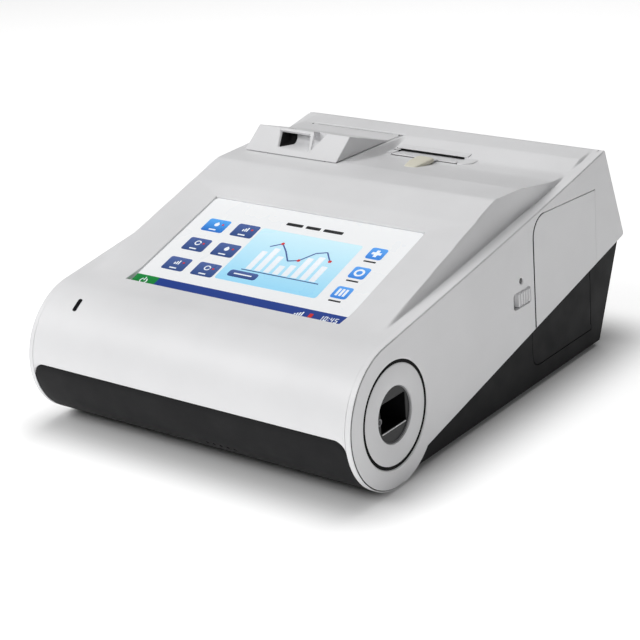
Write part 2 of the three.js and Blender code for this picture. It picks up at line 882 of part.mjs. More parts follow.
function baseTray() {
  const outer = leaningBody(trayOutline(), shellHalf);
  const shell = cut(outer, trayHollow());
  const floorTop = trayBottom + trayWall;
  const bosses = screwPlaces.map(
    (place) => rod('z', bossRadius, place, floorTop - fit, trayBottom + screwRise),
  );
  const postX = [boardLeftX + boardPostInset, boardRightX - boardPostInset];
  const postY = [boardFrontY + boardPostInset, boardRearY - boardPostInset];
  const posts = postX.flatMap((x) => postY.map(
    (y) => rod('z', boardPostRadius, [x, y], floorTop - fit, boardUnder - fit, 10),
  ));
  const alcoveBlock = box(
    [alcoveLeftX - alcoveWall, alcoveBack - alcoveWall, alcoveFloor - alcoveWall],
    [alcoveRightX + alcoveWall, backY, alcoveTop + alcoveWall],
  ).intersect(outer);
  const alcove = box(
    [alcoveLeftX, alcoveBack, alcoveFloor],
    [alcoveRightX, backY + cutOver, alcoveTop],
  );
  const lidHalfX = batteryWidth / 2 + lidMargin + fit;
  const lidHalfY = batteryLength / 2 + lidMargin + fit;
  const lidHole = box(
    [batteryX - lidHalfX, batteryY - lidHalfY, 0],
    [batteryX + lidHalfX, batteryY + lidHalfY, floorTop + fit],
  );
  const screwHoles = screwPlaces.flatMap((place) => [
    rod('z', screwHeadRadius + fit, place, 0, trayBottom + screwHeadThick + fit, 12),
    rod('z', screwShaftRadius + fit, place, 0, trayBottom + screwRise + fit, 10),
  ]);
  const door = sideSlab(doorPanelOutline(doorGap), shellHalf - trayWall - cutOver, halfWidth, 1);
  const whole = join(shell, ...bosses, ...posts, alcoveBlock);
  return cut(whole, alcove, lidHole, ...screwHoles, door, ...socketHoles());
}

function socketHoles() {
  const front = alcoveBack - alcoveWall - fit;
  const back = alcoveBack + fit;
  const hole = (x, z, width, height) => box(
    [x - width / 2 - fit, front, z - fit],
    [x + width / 2 + fit, back, z + height + fit],
  );
  const usb = Array.from(
    { length: usbPorts },
    (_, i) => hole(usbFirstX + i * usbPitch, socketZ, usbWidth, usbHeight),
  );
  return [
    ...usb,
    hole(lanX, socketZ, lanWidth, lanHeight),
    hole(inletX, inletZ - inletHeight / 2, inletWidth, inletHeight),
    rod('y', studRadius / 2 + fit, [studX, studZ], front, back, 12),
  ];
}

// Black panel that wraps the lower front edge, with the speaker holes
function frontPanel() {
  const start = frontSeamAngle + fit / ringRadius;
  const outer = arc([ringY, ringZ], ringRadius, start, frontPanelEndAngle, ringSteps / 2);
  const inner = arc([ringY, ringZ], ringRadius - frontPanelWall, frontPanelEndAngle, start, ringSteps / 2);
  const panel = leaningBody([...outer, ...inner], shellHalf);
  const holes = [-1, 0, 1].flatMap((row) => Array.from({ length: speakerHolesPerRow }, (_, i) => {
    const angle = speakerAngle + row * speakerRowAngle;
    const x = speakerX + (i - (speakerHolesPerRow - 1) / 2) * speakerHolePitch;
    const hole = new THREE.CylinderGeometry(speakerHoleRadius, speakerHoleRadius, cutOver, 8);
    hole.rotateX(angle);
    const [y, z] = [ringY + ringRadius * Math.cos(angle), ringZ + ringRadius * Math.sin(angle)];
    return solidOf(hole.translate(x, y, z));
  }));
  return cut(panel, ...holes);
}

// Side panels
function sidePanel(side) {
  const plate = sideSlab(plateOutline(), plateInner, halfWidth, side);
  return cut(plate, sideRod(discRadius + fit, [ringY, ringZ], 0, halfWidth + cutOver, side, 48));
}

function rightSidePanel() {
  const rear = doorRearY + doorHingeGap;
  const notch = sideSlab(doorSkinOutline(doorGap, rear, cutOver), plateInner - fit, halfWidth + fit, 1);
  const latchWindow = rectangle(latchFrontY, latchWindowBottom, latchFrontY + latchWindowLength, latchTop);
  const knuckleFoot = lowerEdge(doorAxisY) + knuckleRise;
  const barrel = leanRod(sidePlateThick / 2, knuckleFoot, knuckleFoot + knuckleHeight);
  const arm = sideSlab(
    rectangle(doorAxisY, knuckleFoot, rear + fit, knuckleFoot + knuckleHeight),
    plateInner, halfWidth, 1,
  );
  const pinHole = leanRod(doorPinHole, knuckleFoot - cutOver, doorTop - doorTopFall + doorPinOver + fit);
  return cut(
    join(cut(sidePanel(1), notch), barrel, arm),
    sideSlab(latchWindow, plateInner - fit, halfWidth + fit, 1),
    sideRod(latchLampRadius + fit, [latchLampY, latchLampZ], plateInner - fit, halfWidth + fit, 1, 12),
    pinHole,
  );
}

// A bar that follows the leaning hinge axis of the door
function leanRod(radius, from, to, sides = 12) {
  return solidOf(lean(rodShape('z', radius, [doorAxisX, doorAxisY], from, to, sides), 1));
}

function trimDisc(side, holeRadius) {
  const back = plateInner + fit;
  const edge = plateInner + discEdge;
  const middle = (discRadius + holeRadius) / 2;
  const rim = [[holeRadius, back], [discRadius, back], [discRadius, edge], [middle, edge + discDome]];
  const profile = holeRadius > 0 ? [...rim, [holeRadius, edge], rim[0]] : [...rim, [0, edge + discDome]];
  const geometry = new THREE.LatheGeometry(profile.map(([r, x]) => new THREE.Vector2(r, x)), 40);
  geometry.rotateZ((-side * Math.PI) / 2);
  return solidOf(lean(geometry.translate(0, ringY, ringZ), side));
}

// Scanner behind the right disc
function scannerTunnel() {
  const body = sideRod(windowRadius - fit, [ringY, ringZ], tunnelBack, tunnelFront, 1, 32);
  const mouth = rectangle(
    ringY - tunnelWidth / 2, ringZ - tunnelHeight / 2,
    ringY + tunnelWidth / 2, ringZ + tunnelHeight / 2,
  );
  return cut(body, sideSlab(mouth, tunnelBack + tunnelFloor, halfWidth, 1));
}

function scannerGlass() {
  const half = (tunnelWidth / 2 - 2 * fit) * Math.cos(scanGlassTurn);
  const geometry = new THREE.BoxGeometry(scanGlassThick, 2 * half, tunnelHeight - 2 * fit);
  geometry.rotateZ(scanGlassTurn);
  const reach = half * Math.sin(scanGlassTurn) + scanGlassThick;
  return lean(geometry.translate(tunnelBack + tunnelFloor + reach, ringY, ringZ), 1);
}

function scannerModule() {
  const half = scannerSize / 2;
  const outline = rectangle(ringY - half, ringZ - half, ringY + half, ringZ + half);
  return sideSlab(outline, tunnelBack - fit - scannerDepth, tunnelBack - fit, 1);
}

// Status light
const lightFrame = new THREE.Group();
lightFrame.position.set(
  -halfWidth + lightInset,
  ringY + ringRadius * Math.cos(lightAngle),
  ringZ + ringRadius * Math.sin(lightAngle),
);
lightFrame.rotation.x = lightAngle - Math.PI / 2;
lightFrame.updateMatrixWorld();

function lightShape(gap) {
  const high = gap > 0 ? shellWall : -fit;
  return boxShape(
    [-lightWidth / 2 - gap, -lightLength / 2 - gap, -fit - lightThick - gap],
    [lightWidth / 2 + gap, lightLength / 2 + gap, high],
  );
}

// Printer cover: a shell with a barrel at the hinge, a finger pocket and two ears for the roller
function coverSlope(y) {
  return coverBottom + ((y - coverFront) * coverRidgeRise) / coverRidgeRun;
}

function coverOutline() {
  const away = [hingeY - coverFall[0], hingeZ - coverFall[1]];
  const reach = Math.hypot(...away);
  const slope = Math.atan2(away[1], away[0]) + Math.asin(hingeRadius / reach);
  const barrel = arc([hingeY, hingeZ], hingeRadius, slope + Math.PI / 2, -Math.PI / 2, cornerSteps * 2);
  return [
    [coverFront, coverBottom], coverRidge, coverFall, ...barrel,
    [hingeY - hingeRadius - coverWall, hingeZ - hingeRadius + fit],
    [hingeY - hingeRadius - 2 * coverWall, shelfFloor + fit],
    [shelfFront, shelfFloor + fit],
    [shelfFront, coverBottom],
  ];
}

function printerCover() {
  const outline = coverOutline();
  const outer = prism(outline, 'x', coverLeft, coverRight);
  const under = coverBottom - cutOver;
  const roofEnd = [[hingeY, hingeZ + hingeRadius], [hingeY, coverBottom]];
  const roof = inset(outline.slice(0, 3).concat(roofEnd), coverWall);
  const hollow = prism(
    [
      [roof[0][0], under], [roof[0][0], roof[0][1] - coverWall], roof[1],
      [roof[2][0] - coverWall, roof[2][1] + fallSlope * coverWall], [roof[2][0] - coverWall, under],
    ],
    'x', coverLeft + coverWall, coverRight - coverWall,
  );
  const pocketBack = coverFront + pocketDepth;
  const floor = coverBottom + pocketFloorRise;
  const tub = box(
    [pocketLeft - coverWall, coverFront, floor - coverWall],
    [pocketRight + pocketFlare + coverWall, pocketBack + coverWall, deckHeight + 2 * coverRidgeRise],
  ).intersect(outer);
  const top = coverBottom + 2 * coverRidgeRise;
  const flareTop = pocketRight + (pocketFlare * (top - floor)) / coverRidgeRise;
  const pocket = prism(
    [[pocketLeft, floor], [pocketRight, floor], [flareTop, top], [pocketLeft, top]],
    'y', coverFront - cutOver, pocketBack,
  );
  const ear = [
    [rollerY - earHalf, rollerZ - earDrop], [rollerY + earHalf, rollerZ - earDrop],
    [rollerY + earHalf, coverSlope(rollerY + earHalf) - coverWall],
    [rollerY - earHalf, coverSlope(rollerY - earHalf) - coverWall],
  ];
  const exit = box(
    [bayLeft + exitInset, coverFront - cutOver, coverBottom - fit],
    [bayRight - exitInset, coverFront + coverRidgeRun / 2, coverBottom + exitHeight],
  );
  const ears = earPlaces.map((x) => prism(ear, 'x', x - earThick / 2, x + earThick / 2));
  const axle = rod('x', rollerAxle + fit, [rollerY, rollerZ], coverLeft, coverRight, 12);
  const pins = rod('x', hingeHole, [hingeY, hingeZ], coverLeft - fit, coverRight + fit, 10);
  return cut(join(cut(outer, hollow), tub, ...ears), pocket, exit, axle, pins);
}

const rollerY = bayFront + rollerSetback;
const rollerZ = deckHeight - rollerDrop;
const rollerHalf = bayWidth / 2 - rollerInset;
const earPlaces = [-1, 1].map((side) => bayX + side * (rollerHalf + fit + earThick / 2));

// Release lever: a bar along the ridge and one side that make the handle's loop
function releaseLever() {
  const back = coverFront + pocketDepth - slideFit;
  const floor = coverBottom + pocketFloorRise + fit;
  const outer = coverOutline();
  const skin = prism(outer, 'x', pocketLeft + fit, pocketRight);
  const inside = inset(outer, leverBar);
  const bar = cut(
    skin.intersect(box(
      [pocketLeft + fit, coverFront + leverFrontRun, floor],
      [pocketRight, back, 2 * deckHeight],
    )),
    prism([inside[0], inside[1], inside[2], [back + cutOver, inside[2][1]], [back + cutOver, floor - cutOver],
      [inside[0][0], floor - cutOver]], 'x', pocketLeft, pocketRight + fit),
  );
  const side = skin.intersect(box(
    [pocketRight - leverSide, coverFront, floor],
    [pocketRight, back, 2 * deckHeight],
  ));
  return join(bar, side);
}

function platenRoller() {
  const half = rollerHalf;
  const axle = half + earThick + fit;
  return join(
    rod('x', rollerRadius, [rollerY, rollerZ], bayX - half, bayX + half, 20),
    rod('x', rollerAxle, [rollerY, rollerZ], bayX - axle, bayX + axle, 12),
  );
}

function paperBay() {
  const top = deckHeight - shellWall - fit;
  const inner = box([bayLeft, bayFront + fit, bayFloorZ], [bayRight, bayRear, deckHeight]);
  const outer = box(
    [bayLeft - bayWall, bayFront + fit - bayWall, bayFloorZ - bayWall],
    [bayRight + bayWall, bayRear + bayWall, top],
  );
  const notch = box(
    [bayLeft - coverWall, grooveFront, grooveFloor - fit],
    [bayRight + coverWall, grooveRear, deckHeight],
  );
  return cut(outer, inner, notch);
}

function printHead() {
  const front = rollerY + rollerRadius + headGap;
  const top = rollerZ + rollerRadius / 2;
  return box([bayLeft + fit, front, top - headHeight], [bayRight - fit, front + headDepth, top]);
}

function paperRoll() {
  const y = bayFront + rollSetback;
  const z = bayFloorZ + fit + rollRadius;
  const half = bayWidth / 2 - rollInset;
  return cut(
    rod('x', rollRadius, [y, z], bayX - half, bayX + half, 32),
    rod('x', rollCore, [y, z], bayX - half - fit, bayX + half + fit, 20),
  );
}

// Slot surround on the deck: a flat ring with round ends, open to the front for the cartridge
function slotBezel() {
  const x = slotX;
  const y = valleyRear - slotLength / 2;
  const r = slotLength / 2;
  const run = slotWidth / 2 - r;
  const outline = [
    ...arc([x + run, y], r, -Math.PI / 2, Math.PI / 2, cornerSteps * 2),
    ...arc([x - run, y], r, Math.PI / 2, 1.5 * Math.PI, cornerSteps * 2),
  ];
  const low = valleyFloor + fit;
  return cut(
    prism(outline, 'z', low, low + slotHeight),
    cartridgePath(-cartridgeInside, slotLength),
    prism(
      [[valleyFront, deckHeight + fit], [valleyLow, low], [valleyFront, low - cutOver]],
      'x', -slotWidth, slotWidth,
    ),
  );
}

// Pieces in the cartridge frame
function cartridgeBody() {
  const half = cartridgeWidth / 2;
  const rise = cartridgeThick / 2;
  const tongue = tongueWidth / 2;
  const neck = portWidth / 2 - neckInset;
  const reach = tongueLength + portLength - neckInset;
  return join(
    box([-half, -cartridgeInside, -rise], [half, 0, rise]),
    box([-tongue, -fit, -rise], [tongue, tongueLength, rise]),
    box([-portOffset - neck, 0, -rise / 2], [-portOffset + neck, reach, rise / 2]),
  );
}

function samplePort() {
  const r = portWidth / 2;
  const rise = cartridgeThick / 2;
  const start = tongueLength + fit;
  const end = tongueLength + portLength;
  const outline = [
    [-portOffset - r, start], [-portOffset + r, start],
    ...arc([-portOffset, end - r], r, 0, Math.PI, cornerSteps * 2),
  ];
  const neck = portWidth / 2 - neckInset + fit;
  const reach = end - neckInset + fit;
  return cut(
    prism(outline, 'z', -rise, rise + portRise),
    box([-portOffset - neck, 0, -rise / 2 - fit], [-portOffset + neck, reach, rise / 2 + fit]),
    rod('z', portHole, [-portOffset, end - r], 0, rise + portRise + fit, 10),
  );
}

function cartridgeGuide() {
  const half = cartridgeWidth / 2 + slideFit;
  const rise = cartridgeThick / 2 + slideFit;
  return cut(
    box([-guideHalf, -guideEnd, -guideUnder], [guideHalf, -guideStart, guideRail]),
    box([-half, -cartridgeInside - slideFit, -rise], [half, -guideStart + fit, rise]),
  );
}

function contactBlock() {
  const top = -guideUnder - fit;
  const end = -guideEnd + guideWall;
  return boxShape(
    [-contactWidth / 2, end, top - contactHeight],
    [contactWidth / 2, end + contactLength, top],
  );
}

// Door: a white skin with a round hinge edge, over a black inner panel that shows below it
function doorSkin() {
  const top = doorTop - doorTopFall;
  const foot = lowerEdge(doorAxisY);
  const knuckleFoot = foot + knuckleRise - doorGap;
  const knuckleTop = foot + knuckleRise + knuckleHeight + doorGap;
  const clear = sidePlateThick / 2 + slideFit;
  const skin = join(
    sideSlab(doorSkinOutline(0, doorAxisY, 0), plateInner, halfWidth, 1),
    leanRod(sidePlateThick / 2, foot, top, 16),
  );
  const notch = rectangle(doorAxisY - clear, knuckleFoot, doorRearY + fit, knuckleTop);
  return cut(
    skin,
    sideSlab(notch, plateInner - fit, halfWidth + fit, 1),
    leanRod(doorPinHole, foot - fit, top + fit),
  );
}

function doorPanel() {
  return sideSlab(doorPanelOutline(0), shellHalf - doorPanelThick, shellHalf, 1);
}

function doorPin() {
  const foot = lowerEdge(doorAxisY) + knuckleRise - knuckleHeight / 2;
  return leanRod(doorPinRadius, foot, doorTop - doorTopFall + doorPinOver, 10);
}

// Latch slider: a ribbed cap in the window on a carrier behind the side panel
function latchSlider() {
  const capInner = plateInner - fit;
  const capOuter = plateInner + latchCapThick;
  const cap = sideSlab(
    rectangle(latchCapFront, latchWindowBottom + fit, latchCapRear, latchTop - fit),
    capInner - fit, capOuter, 1,
  );
  const carrier = sideSlab(
    rectangle(latchCapFront - latchTail, latchWindowBottom + fit, doorFrontY - slideFit, latchTop - fit),
    shellHalf - shellWall, shellHalf, 1,
  );
  const pitch = (latchCapRear - latchCapFront) / (latchRibs + 1);
  const grooves = Array.from({ length: latchRibs }, (_, i) => {
    const y = latchCapFront + (i + 1) * pitch;
    const groove = rectangle(y - pitch / 4, latchWindowBottom + 2 * fit, y + pitch / 4, latchTop - 2 * fit);
    return sideSlab(groove, capOuter - latchRibDepth, capOuter + fit, 1);
  });
  return cut(join(cap, carrier), ...grooves);
}

// Fluid pack and the bay it slides in
const packHeight = deckHeight - packHeadroom - packFloor;
const packFront = doorFrontY + packSetback;
const packRear = packFront + packLength;
const packMiddleZ = packFloor + packHeight / 2;
const pumpY = packFront + pumpSetback;

function fluidPack() {
  const back = packFrontX - packWidth;
  const outline = [
    [packFront, packFloor], [packRear, packFloor],
    [packRear, packFloor + packHeight - doorFoot], [packRear - doorFoot, packFloor + packHeight],
    [packFront, packFloor + packHeight],
  ];
  const middle = [(packFront + packRear) / 2, packMiddleZ];
  const nozzle = rod('x', nozzleRadius, middle, back - nozzleLength, back + fit, 12);
  return join(prism(outline, 'x', back, packFrontX), nozzle);
}

function packBay() {
  const back = packFrontX - packWidth;
  const low = [back - nozzleLength - packBayClear, packFront - packBayClear, packFloor - fit];
  const high = [packFrontX, packRear + packBayClear, packFloor + packHeight + packBayClear];
  const outer = box(
    low.map((value) => value - packBayWall),
    [packFrontX + packBayClear, high[1] + packBayWall, high[2] + packBayWall],
  );
  const flangeInner = packFrontX + packBayClear - mouthFlange;
  const flange = box(
    [flangeInner, doorFrontY + mouthMargin, doorBottom + mouthMargin - packBayWall],
    [packFrontX + packBayClear, doorPanelRear - mouthMargin, doorTop - doorTopFall - mouthMargin],
  );
  return cut(join(outer, flange), box(low, [packFrontX + cutOver, high[1], high[2]]));
}

// Pump beside the bay
const motorBack = packBayLeft - fit;
const motorFront = motorBack - pumpMotorLength;
const pumpBack = motorFront - fit;
const pumpFront = pumpBack - pumpDepth;

function pumpHousing() {
  const half = pumpSize / 2;
  const body = box([pumpFront, pumpY - half, pumpZ - half], [pumpBack, pumpY + half, pumpZ + half]);
  const bowlRadius = pumpRotorRadius + 2 * slideFit;
  const bowlEnd = pumpFront + pumpRotorDepth + fit;
  const bowl = rod('x', bowlRadius, [pumpY, pumpZ], pumpFront - fit, bowlEnd, 32);
  const shaft = rod('x', pumpShaftRadius + fit, [pumpY, pumpZ], pumpFront, pumpBack + fit, 12);
  return cut(body, bowl, shaft);
}

function pumpRotor() {
  const arm = pumpRotorRadius - pumpRollerRadius;
  const rollers = [0, 1, 2].map((i) => {
    const angle = (i * 2 * Math.PI) / 3;
    const place = [pumpY + arm * Math.cos(angle), pumpZ + arm * Math.sin(angle)];
    return rod('x', pumpRollerRadius, place, pumpFront, pumpFront + pumpRotorDepth - fit, 12);
  });
  const hubEnd = pumpFront + pumpRotorDepth - fit;
  const hub = rod('x', arm, [pumpY, pumpZ], pumpFront + pumpRollerRadius, hubEnd, 24);
  const shaft = rod('x', pumpShaftRadius, [pumpY, pumpZ], pumpFront, pumpBack, 12);
  return join(hub, shaft, ...rollers);
}

// Sockets: a block with a recess that opens to the back
function socket(x, width, height, depth, rim, hollow) {
  const z = socketZ;
  return cut(
    box([x - width / 2, alcoveBack - depth, z], [x + width / 2, alcoveBack, z + height]),
    box(
      [x - width / 2 + rim, alcoveBack - hollow, z + rim],
      [x + width / 2 - rim, alcoveBack + fit, z + height - rim],
    ),
  );
}

function powerInlet() {
  const halfW = inletWidth / 2;
  const halfH = inletHeight / 2;
  const face = alcoveBack + fit + inletFlangeThick;
  const body = box(
    [inletX - halfW, face - inletDepth, inletZ - halfH],
    [inletX + halfW, face, inletZ + halfH],
  );
  const flange = box(
    [inletX - halfW - inletFlange, alcoveBack + fit, inletZ - halfH - inletFlange],
    [inletX + halfW + inletFlange, face, inletZ + halfH + inletFlange],
  );
  const hollow = box(
    [inletX - halfW + inletRim, face - inletHollow, inletZ - halfH + inletRim],
    [inletX + halfW - inletRim, face + fit, inletZ + halfH - inletRim],
  );
  const pins = [-1, 0, 1].map((i) => {
    const z = inletZ + (i === 0 ? -2 * pinOffset : 0) - pinOffset / 2;
    return box(
      [inletX + i * pinPitch - pinWidth / 2, face - inletHollow - fit, z - pinHeight / 2],
      [inletX + i * pinPitch + pinWidth / 2, face - inletHollow + pinLength, z + pinHeight / 2],
    );
  });
  return join(cut(join(body, flange), hollow), ...pins);
}

function groundStud() {
  const front = alcoveBack - alcoveWall;
  return join(
    rod('y', studRadius / 2, [studX, studZ], front, alcoveBack + 2 * fit, 12),
    rod('y', studRadius, [studX, studZ], alcoveBack + fit, alcoveBack + fit + studLength / 4, 6),
    rod('y', studRadius / 2, [studX, studZ], alcoveBack + fit, alcoveBack + studLength, 12),
  );
}

function mainBoard() {
  const board = box([boardLeftX, boardFrontY, boardUnder], [boardRightX, boardRearY, boardTop]);
  const chip = usbWidth;
  const chips = [[boardLeftX + chip, boardFrontY + chip], [boardRightX - chip, boardFrontY + chip]].map(
    ([x, y]) => box(
      [x - chip / 2, y - chip / 2, boardTop - fit],
      [x + chip / 2, y + chip / 2, boardTop + boardThick],
    ),
  );
  return join(board, ...chips);
}

// Small hardware at its own origin
function screwShape() {
  return join(
    rod('z', screwHeadRadius, [0, 0], 0, screwHeadThick, 12),
    rod('z', screwShaftRadius, [0, 0], 0, screwLength, 10),
  );
}

// Materials
function plastic(color, roughness, metalness = 0) {
  return new THREE.MeshStandardMaterial({ color, roughness, metalness });
}

const finishes = {
  shellWhite: plastic(0xe4e4e6, 0.5),
  trayBlack: plastic(0x26272a, 0.55),
  discGrey: plastic(0xd6d7da, 0.5),
  tunnelBlack: plastic(0x101114, 0.4),
  darkGlass: plastic(0x15171b, 0.1),
  screenGlass: plastic(0xe9ecef, 0.12),
  metalGrey: plastic(0xa9adb2, 0.35, 0.9),
  creamRubber: plastic(0xece6d2, 0.7),
  paperWhite: plastic(0xf5f4ee, 0.9),
  rubberBlack: plastic(0x1b1b1c, 0.9),
  boardGreen: plastic(0x1f5a3c, 0.6),
  packBlue: plastic(0x9fb9cf, 0.5),
  batteryGrey: plastic(0x3b3f46, 0.6),
  lampGreen: plastic(0x58d27a, 0.3),
};

// Assembly
const analyzer = new THREE.Group();
analyzer.add(screenFrame, cartridgeFrame, lightFrame);

function piece(name, shape, material, parent = analyzer) {
  const geometry = shape instanceof THREE.BufferGeometry ? shape : geometryOf(shape);
  const mesh = new THREE.Mesh(geometry, material);
  mesh.name = name;
  parent.add(mesh);
  return mesh;
}

function placed(mesh, x, y, z) {
  mesh.position.set(x, y, z);
  return mesh;
}

function addCase() {
  piece('upper_housing', upperHousing(), finishes.shellWhite);
  piece('base_tray', baseTray(), finishes.trayBlack);
  piece('front_panel', frontPanel(), finishes.trayBlack);
  piece('side_panel_left', sidePanel(-1), finishes.shellWhite);
  piece('side_panel_right', rightSidePanel(), finishes.shellWhite);
  piece('trim_disc_left', trimDisc(-1, 0), finishes.discGrey);
  piece('trim_disc_right', trimDisc(1, windowRadius), finishes.discGrey);
  footPlaces.forEach(([x, y], i) => {
    const foot = rod('z', footRadius, [0, 0], 0, trayBottom - fit, 20);
    placed(piece(`foot_${i + 1}`, foot, finishes.rubberBlack), x, y, 0);
  });
  screwPlaces.forEach(([x, y], i) => {
    placed(piece(`case_screw_${i + 1}`, screwShape(), finishes.metalGrey), x, y, trayBottom + fit);
  });
}

function addScreen() {
  const half = screenWidth / 2;
  const glass = boxShape([-half, 0, -glassThick], [half, screenLength, 0]);
  piece('touch_panel', glass, finishes.screenGlass, screenFrame);
  const top = -shellWall - fit;
  const display = boxShape(
    [-half - displayMargin, -displayMargin / 2, top - displayThick],
    [half + displayMargin, screenLength + displayMargin, top],
  );
  piece('display_module', display, finishes.metalGrey, screenFrame);
  piece('status_light', lightShape(0), finishes.darkGlass, lightFrame);
}

function addScanner() {
  piece('scanner_tunnel', scannerTunnel(), finishes.tunnelBlack);
  piece('scanner_glass', scannerGlass(), finishes.darkGlass);
  piece('scanner_module', scannerModule(), finishes.batteryGrey);
  const lamp = sideRod(
    scanLampRadius, [ringY - scanLampOffset, ringZ],
    tunnelFront + fit, tunnelFront + fit + scanLampThick, 1, 12,
  );
  piece('scanner_lamp', lamp, finishes.lampGreen);
}

function addSpeaker() {
  const disc = new THREE.CylinderGeometry(speakerRadius, speakerRadius, speakerThick, 24);
  const speaker = piece('speaker', disc, finishes.metalGrey);
  const seat = Math.sqrt((ringRadius - frontPanelWall - fit) ** 2 - speakerRadius ** 2);
  const middle = seat - speakerThick / 2;
  speaker.position.set(
    speakerX,
    ringY + middle * Math.cos(speakerAngle),
    ringZ + middle * Math.sin(speakerAngle),
  );
  speaker.rotation.x = speakerAngle;
}

function addPrinter() {
  piece('paper_bay', paperBay(), finishes.shellWhite);
  piece('print_head', printHead(), finishes.metalGrey);
  piece('paper_roll', paperRoll(), finishes.paperWhite);
  piece('printer_cover', printerCover(), finishes.shellWhite);
  piece('release_lever', releaseLever(), finishes.shellWhite);
  piece('platen_roller', platenRoller(), finishes.rubberBlack);
  const pin = () => rod('x', hingePinRadius, [0, 0], -hingePinLength / 2 + fit, hingePinLength / 2 - fit, 10);
  placed(piece('cover_hinge_pin_left', pin(), finishes.metalGrey), coverLeft, hingeY, hingeZ);
  placed(piece('cover_hinge_pin_right', pin(), finishes.metalGrey), coverRight, hingeY, hingeZ);
}

function addCartridge() {
  piece('slot_bezel', slotBezel(), finishes.shellWhite);
  piece('cartridge_guide', cartridgeGuide(), finishes.trayBlack, cartridgeFrame);
  piece('contact_block', contactBlock(), finishes.metalGrey, cartridgeFrame);
  piece('test_cartridge', cartridgeBody(), finishes.shellWhite, cartridgeFrame);
  piece('sample_port', samplePort(), finishes.creamRubber, cartridgeFrame);
}

function addDoor() {
  piece('door_skin', doorSkin(), finishes.shellWhite);
  piece('door_panel', doorPanel(), finishes.trayBlack);
  piece('door_hinge_pin', doorPin(), finishes.metalGrey);
  piece('latch_slider', latchSlider(), finishes.shellWhite);
  const lamp = sideRod(
    latchLampRadius, [latchLampY, latchLampZ], plateInner, halfWidth - fit, 1, 12,
  );
  piece('latch_lamp', lamp, finishes.darkGlass);
}

function addInside() {
  piece('fluid_pack', fluidPack(), finishes.packBlue);
  piece('pack_bay', packBay(), finishes.discGrey);
  const motor = rod('x', pumpMotorRadius, [0, 0], motorFront, motorBack, 24);
  placed(piece('pump_motor', motor, finishes.metalGrey), 0, pumpY, pumpZ);
  piece('pump_housing', pumpHousing(), finishes.discGrey);
  piece('pump_rotor', pumpRotor(), finishes.trayBlack);
  piece('main_board', mainBoard(), finishes.boardGreen);
  const supply = boxShape(
    [-supplyWidth / 2, -supplyLength / 2, 0],
    [supplyWidth / 2, supplyLength / 2, supplyHeight],
  );
  placed(piece('power_supply', supply, finishes.metalGrey), supplyX, supplyY, boardTop + fit);
  const battery = boxShape(
    [-batteryWidth / 2, -batteryLength / 2, 0],
    [batteryWidth / 2, batteryLength / 2, batteryHeight],
  );
  const batteryPiece = piece('battery_pack', battery, finishes.batteryGrey);
  placed(batteryPiece, batteryX, batteryY, trayBottom + trayWall + fit);
  const lid = boxShape(
    [-batteryWidth / 2 - lidMargin, -batteryLength / 2 - lidMargin, 0],
    [batteryWidth / 2 + lidMargin, batteryLength / 2 + lidMargin, lidThick],
  );
  placed(piece('battery_lid', lid, finishes.trayBlack), batteryX, batteryY, trayBottom);
}

function addSockets() {
  for (let i = 0; i < usbPorts; i += 1) {
    const usb = socket(usbFirstX + i * usbPitch, usbWidth, usbHeight, usbDepth, usbRim, usbHollow);
    piece(`usb_port_${i + 1}`, usb, finishes.metalGrey);
  }
  piece('network_port', socket(lanX, lanWidth, lanHeight, lanDepth, lanRim, lanHollow), finishes.metalGrey);
  piece('power_inlet', powerInlet(), finishes.trayBlack);
  piece('ground_stud', groundStud(), finishes.metalGrey);
}

addCase();
addScreen();
addScanner();
addSpeaker();
addPrinter();
addCartridge();
addDoor();
addInside();
addSockets();

export default analyzer;
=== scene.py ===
from math import acos, atan2, cos, hypot, pi, radians, sin, sqrt, tan

import bmesh
import bpy
import numpy as np
from mathutils import Matrix, Vector
from mathutils.geometry import tessellate_polygon


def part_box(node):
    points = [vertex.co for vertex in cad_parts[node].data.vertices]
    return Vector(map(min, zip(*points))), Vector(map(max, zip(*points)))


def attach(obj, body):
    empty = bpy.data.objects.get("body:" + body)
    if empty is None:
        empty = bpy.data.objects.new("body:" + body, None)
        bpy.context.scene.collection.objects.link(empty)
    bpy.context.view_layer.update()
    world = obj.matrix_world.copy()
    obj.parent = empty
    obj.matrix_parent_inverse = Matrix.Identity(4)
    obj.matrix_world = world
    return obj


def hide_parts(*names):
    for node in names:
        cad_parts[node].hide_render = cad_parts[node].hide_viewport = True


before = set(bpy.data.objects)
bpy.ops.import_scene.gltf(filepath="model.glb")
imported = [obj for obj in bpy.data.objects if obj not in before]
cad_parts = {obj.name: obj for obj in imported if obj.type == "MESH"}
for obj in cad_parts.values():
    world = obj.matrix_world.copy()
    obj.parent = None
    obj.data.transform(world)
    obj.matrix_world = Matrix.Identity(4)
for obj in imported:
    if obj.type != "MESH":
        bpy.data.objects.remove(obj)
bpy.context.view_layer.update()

MM = 0.001
SOFT_STEPS = 4


def node_box(name):
    low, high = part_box(name)
    return Vector(low) / MM, Vector(high) / MM


# Sizes that the frame gives
SIDE_LOW, SIDE_HIGH = node_box("side_panel_right")
DISC_LOW, DISC_HIGH = node_box("trim_disc_right")
LEAN = 0.0335
HALF = SIDE_HIGH.x + LEAN * SIDE_LOW.z
BACK_Y = SIDE_HIGH.y
TOP_Z = SIDE_HIGH.z
RING_Y = (DISC_LOW.y + DISC_HIGH.y) / 2
RING_Z = (DISC_LOW.z + DISC_HIGH.z) / 2
RING_R = RING_Y - SIDE_LOW.y
DISC_R = (DISC_HIGH.z - DISC_LOW.z) / 2
PLATE = 3.1
FIT = 0.3
PLATE_IN = HALF - PLATE
SHELL_HALF = PLATE_IN - FIT

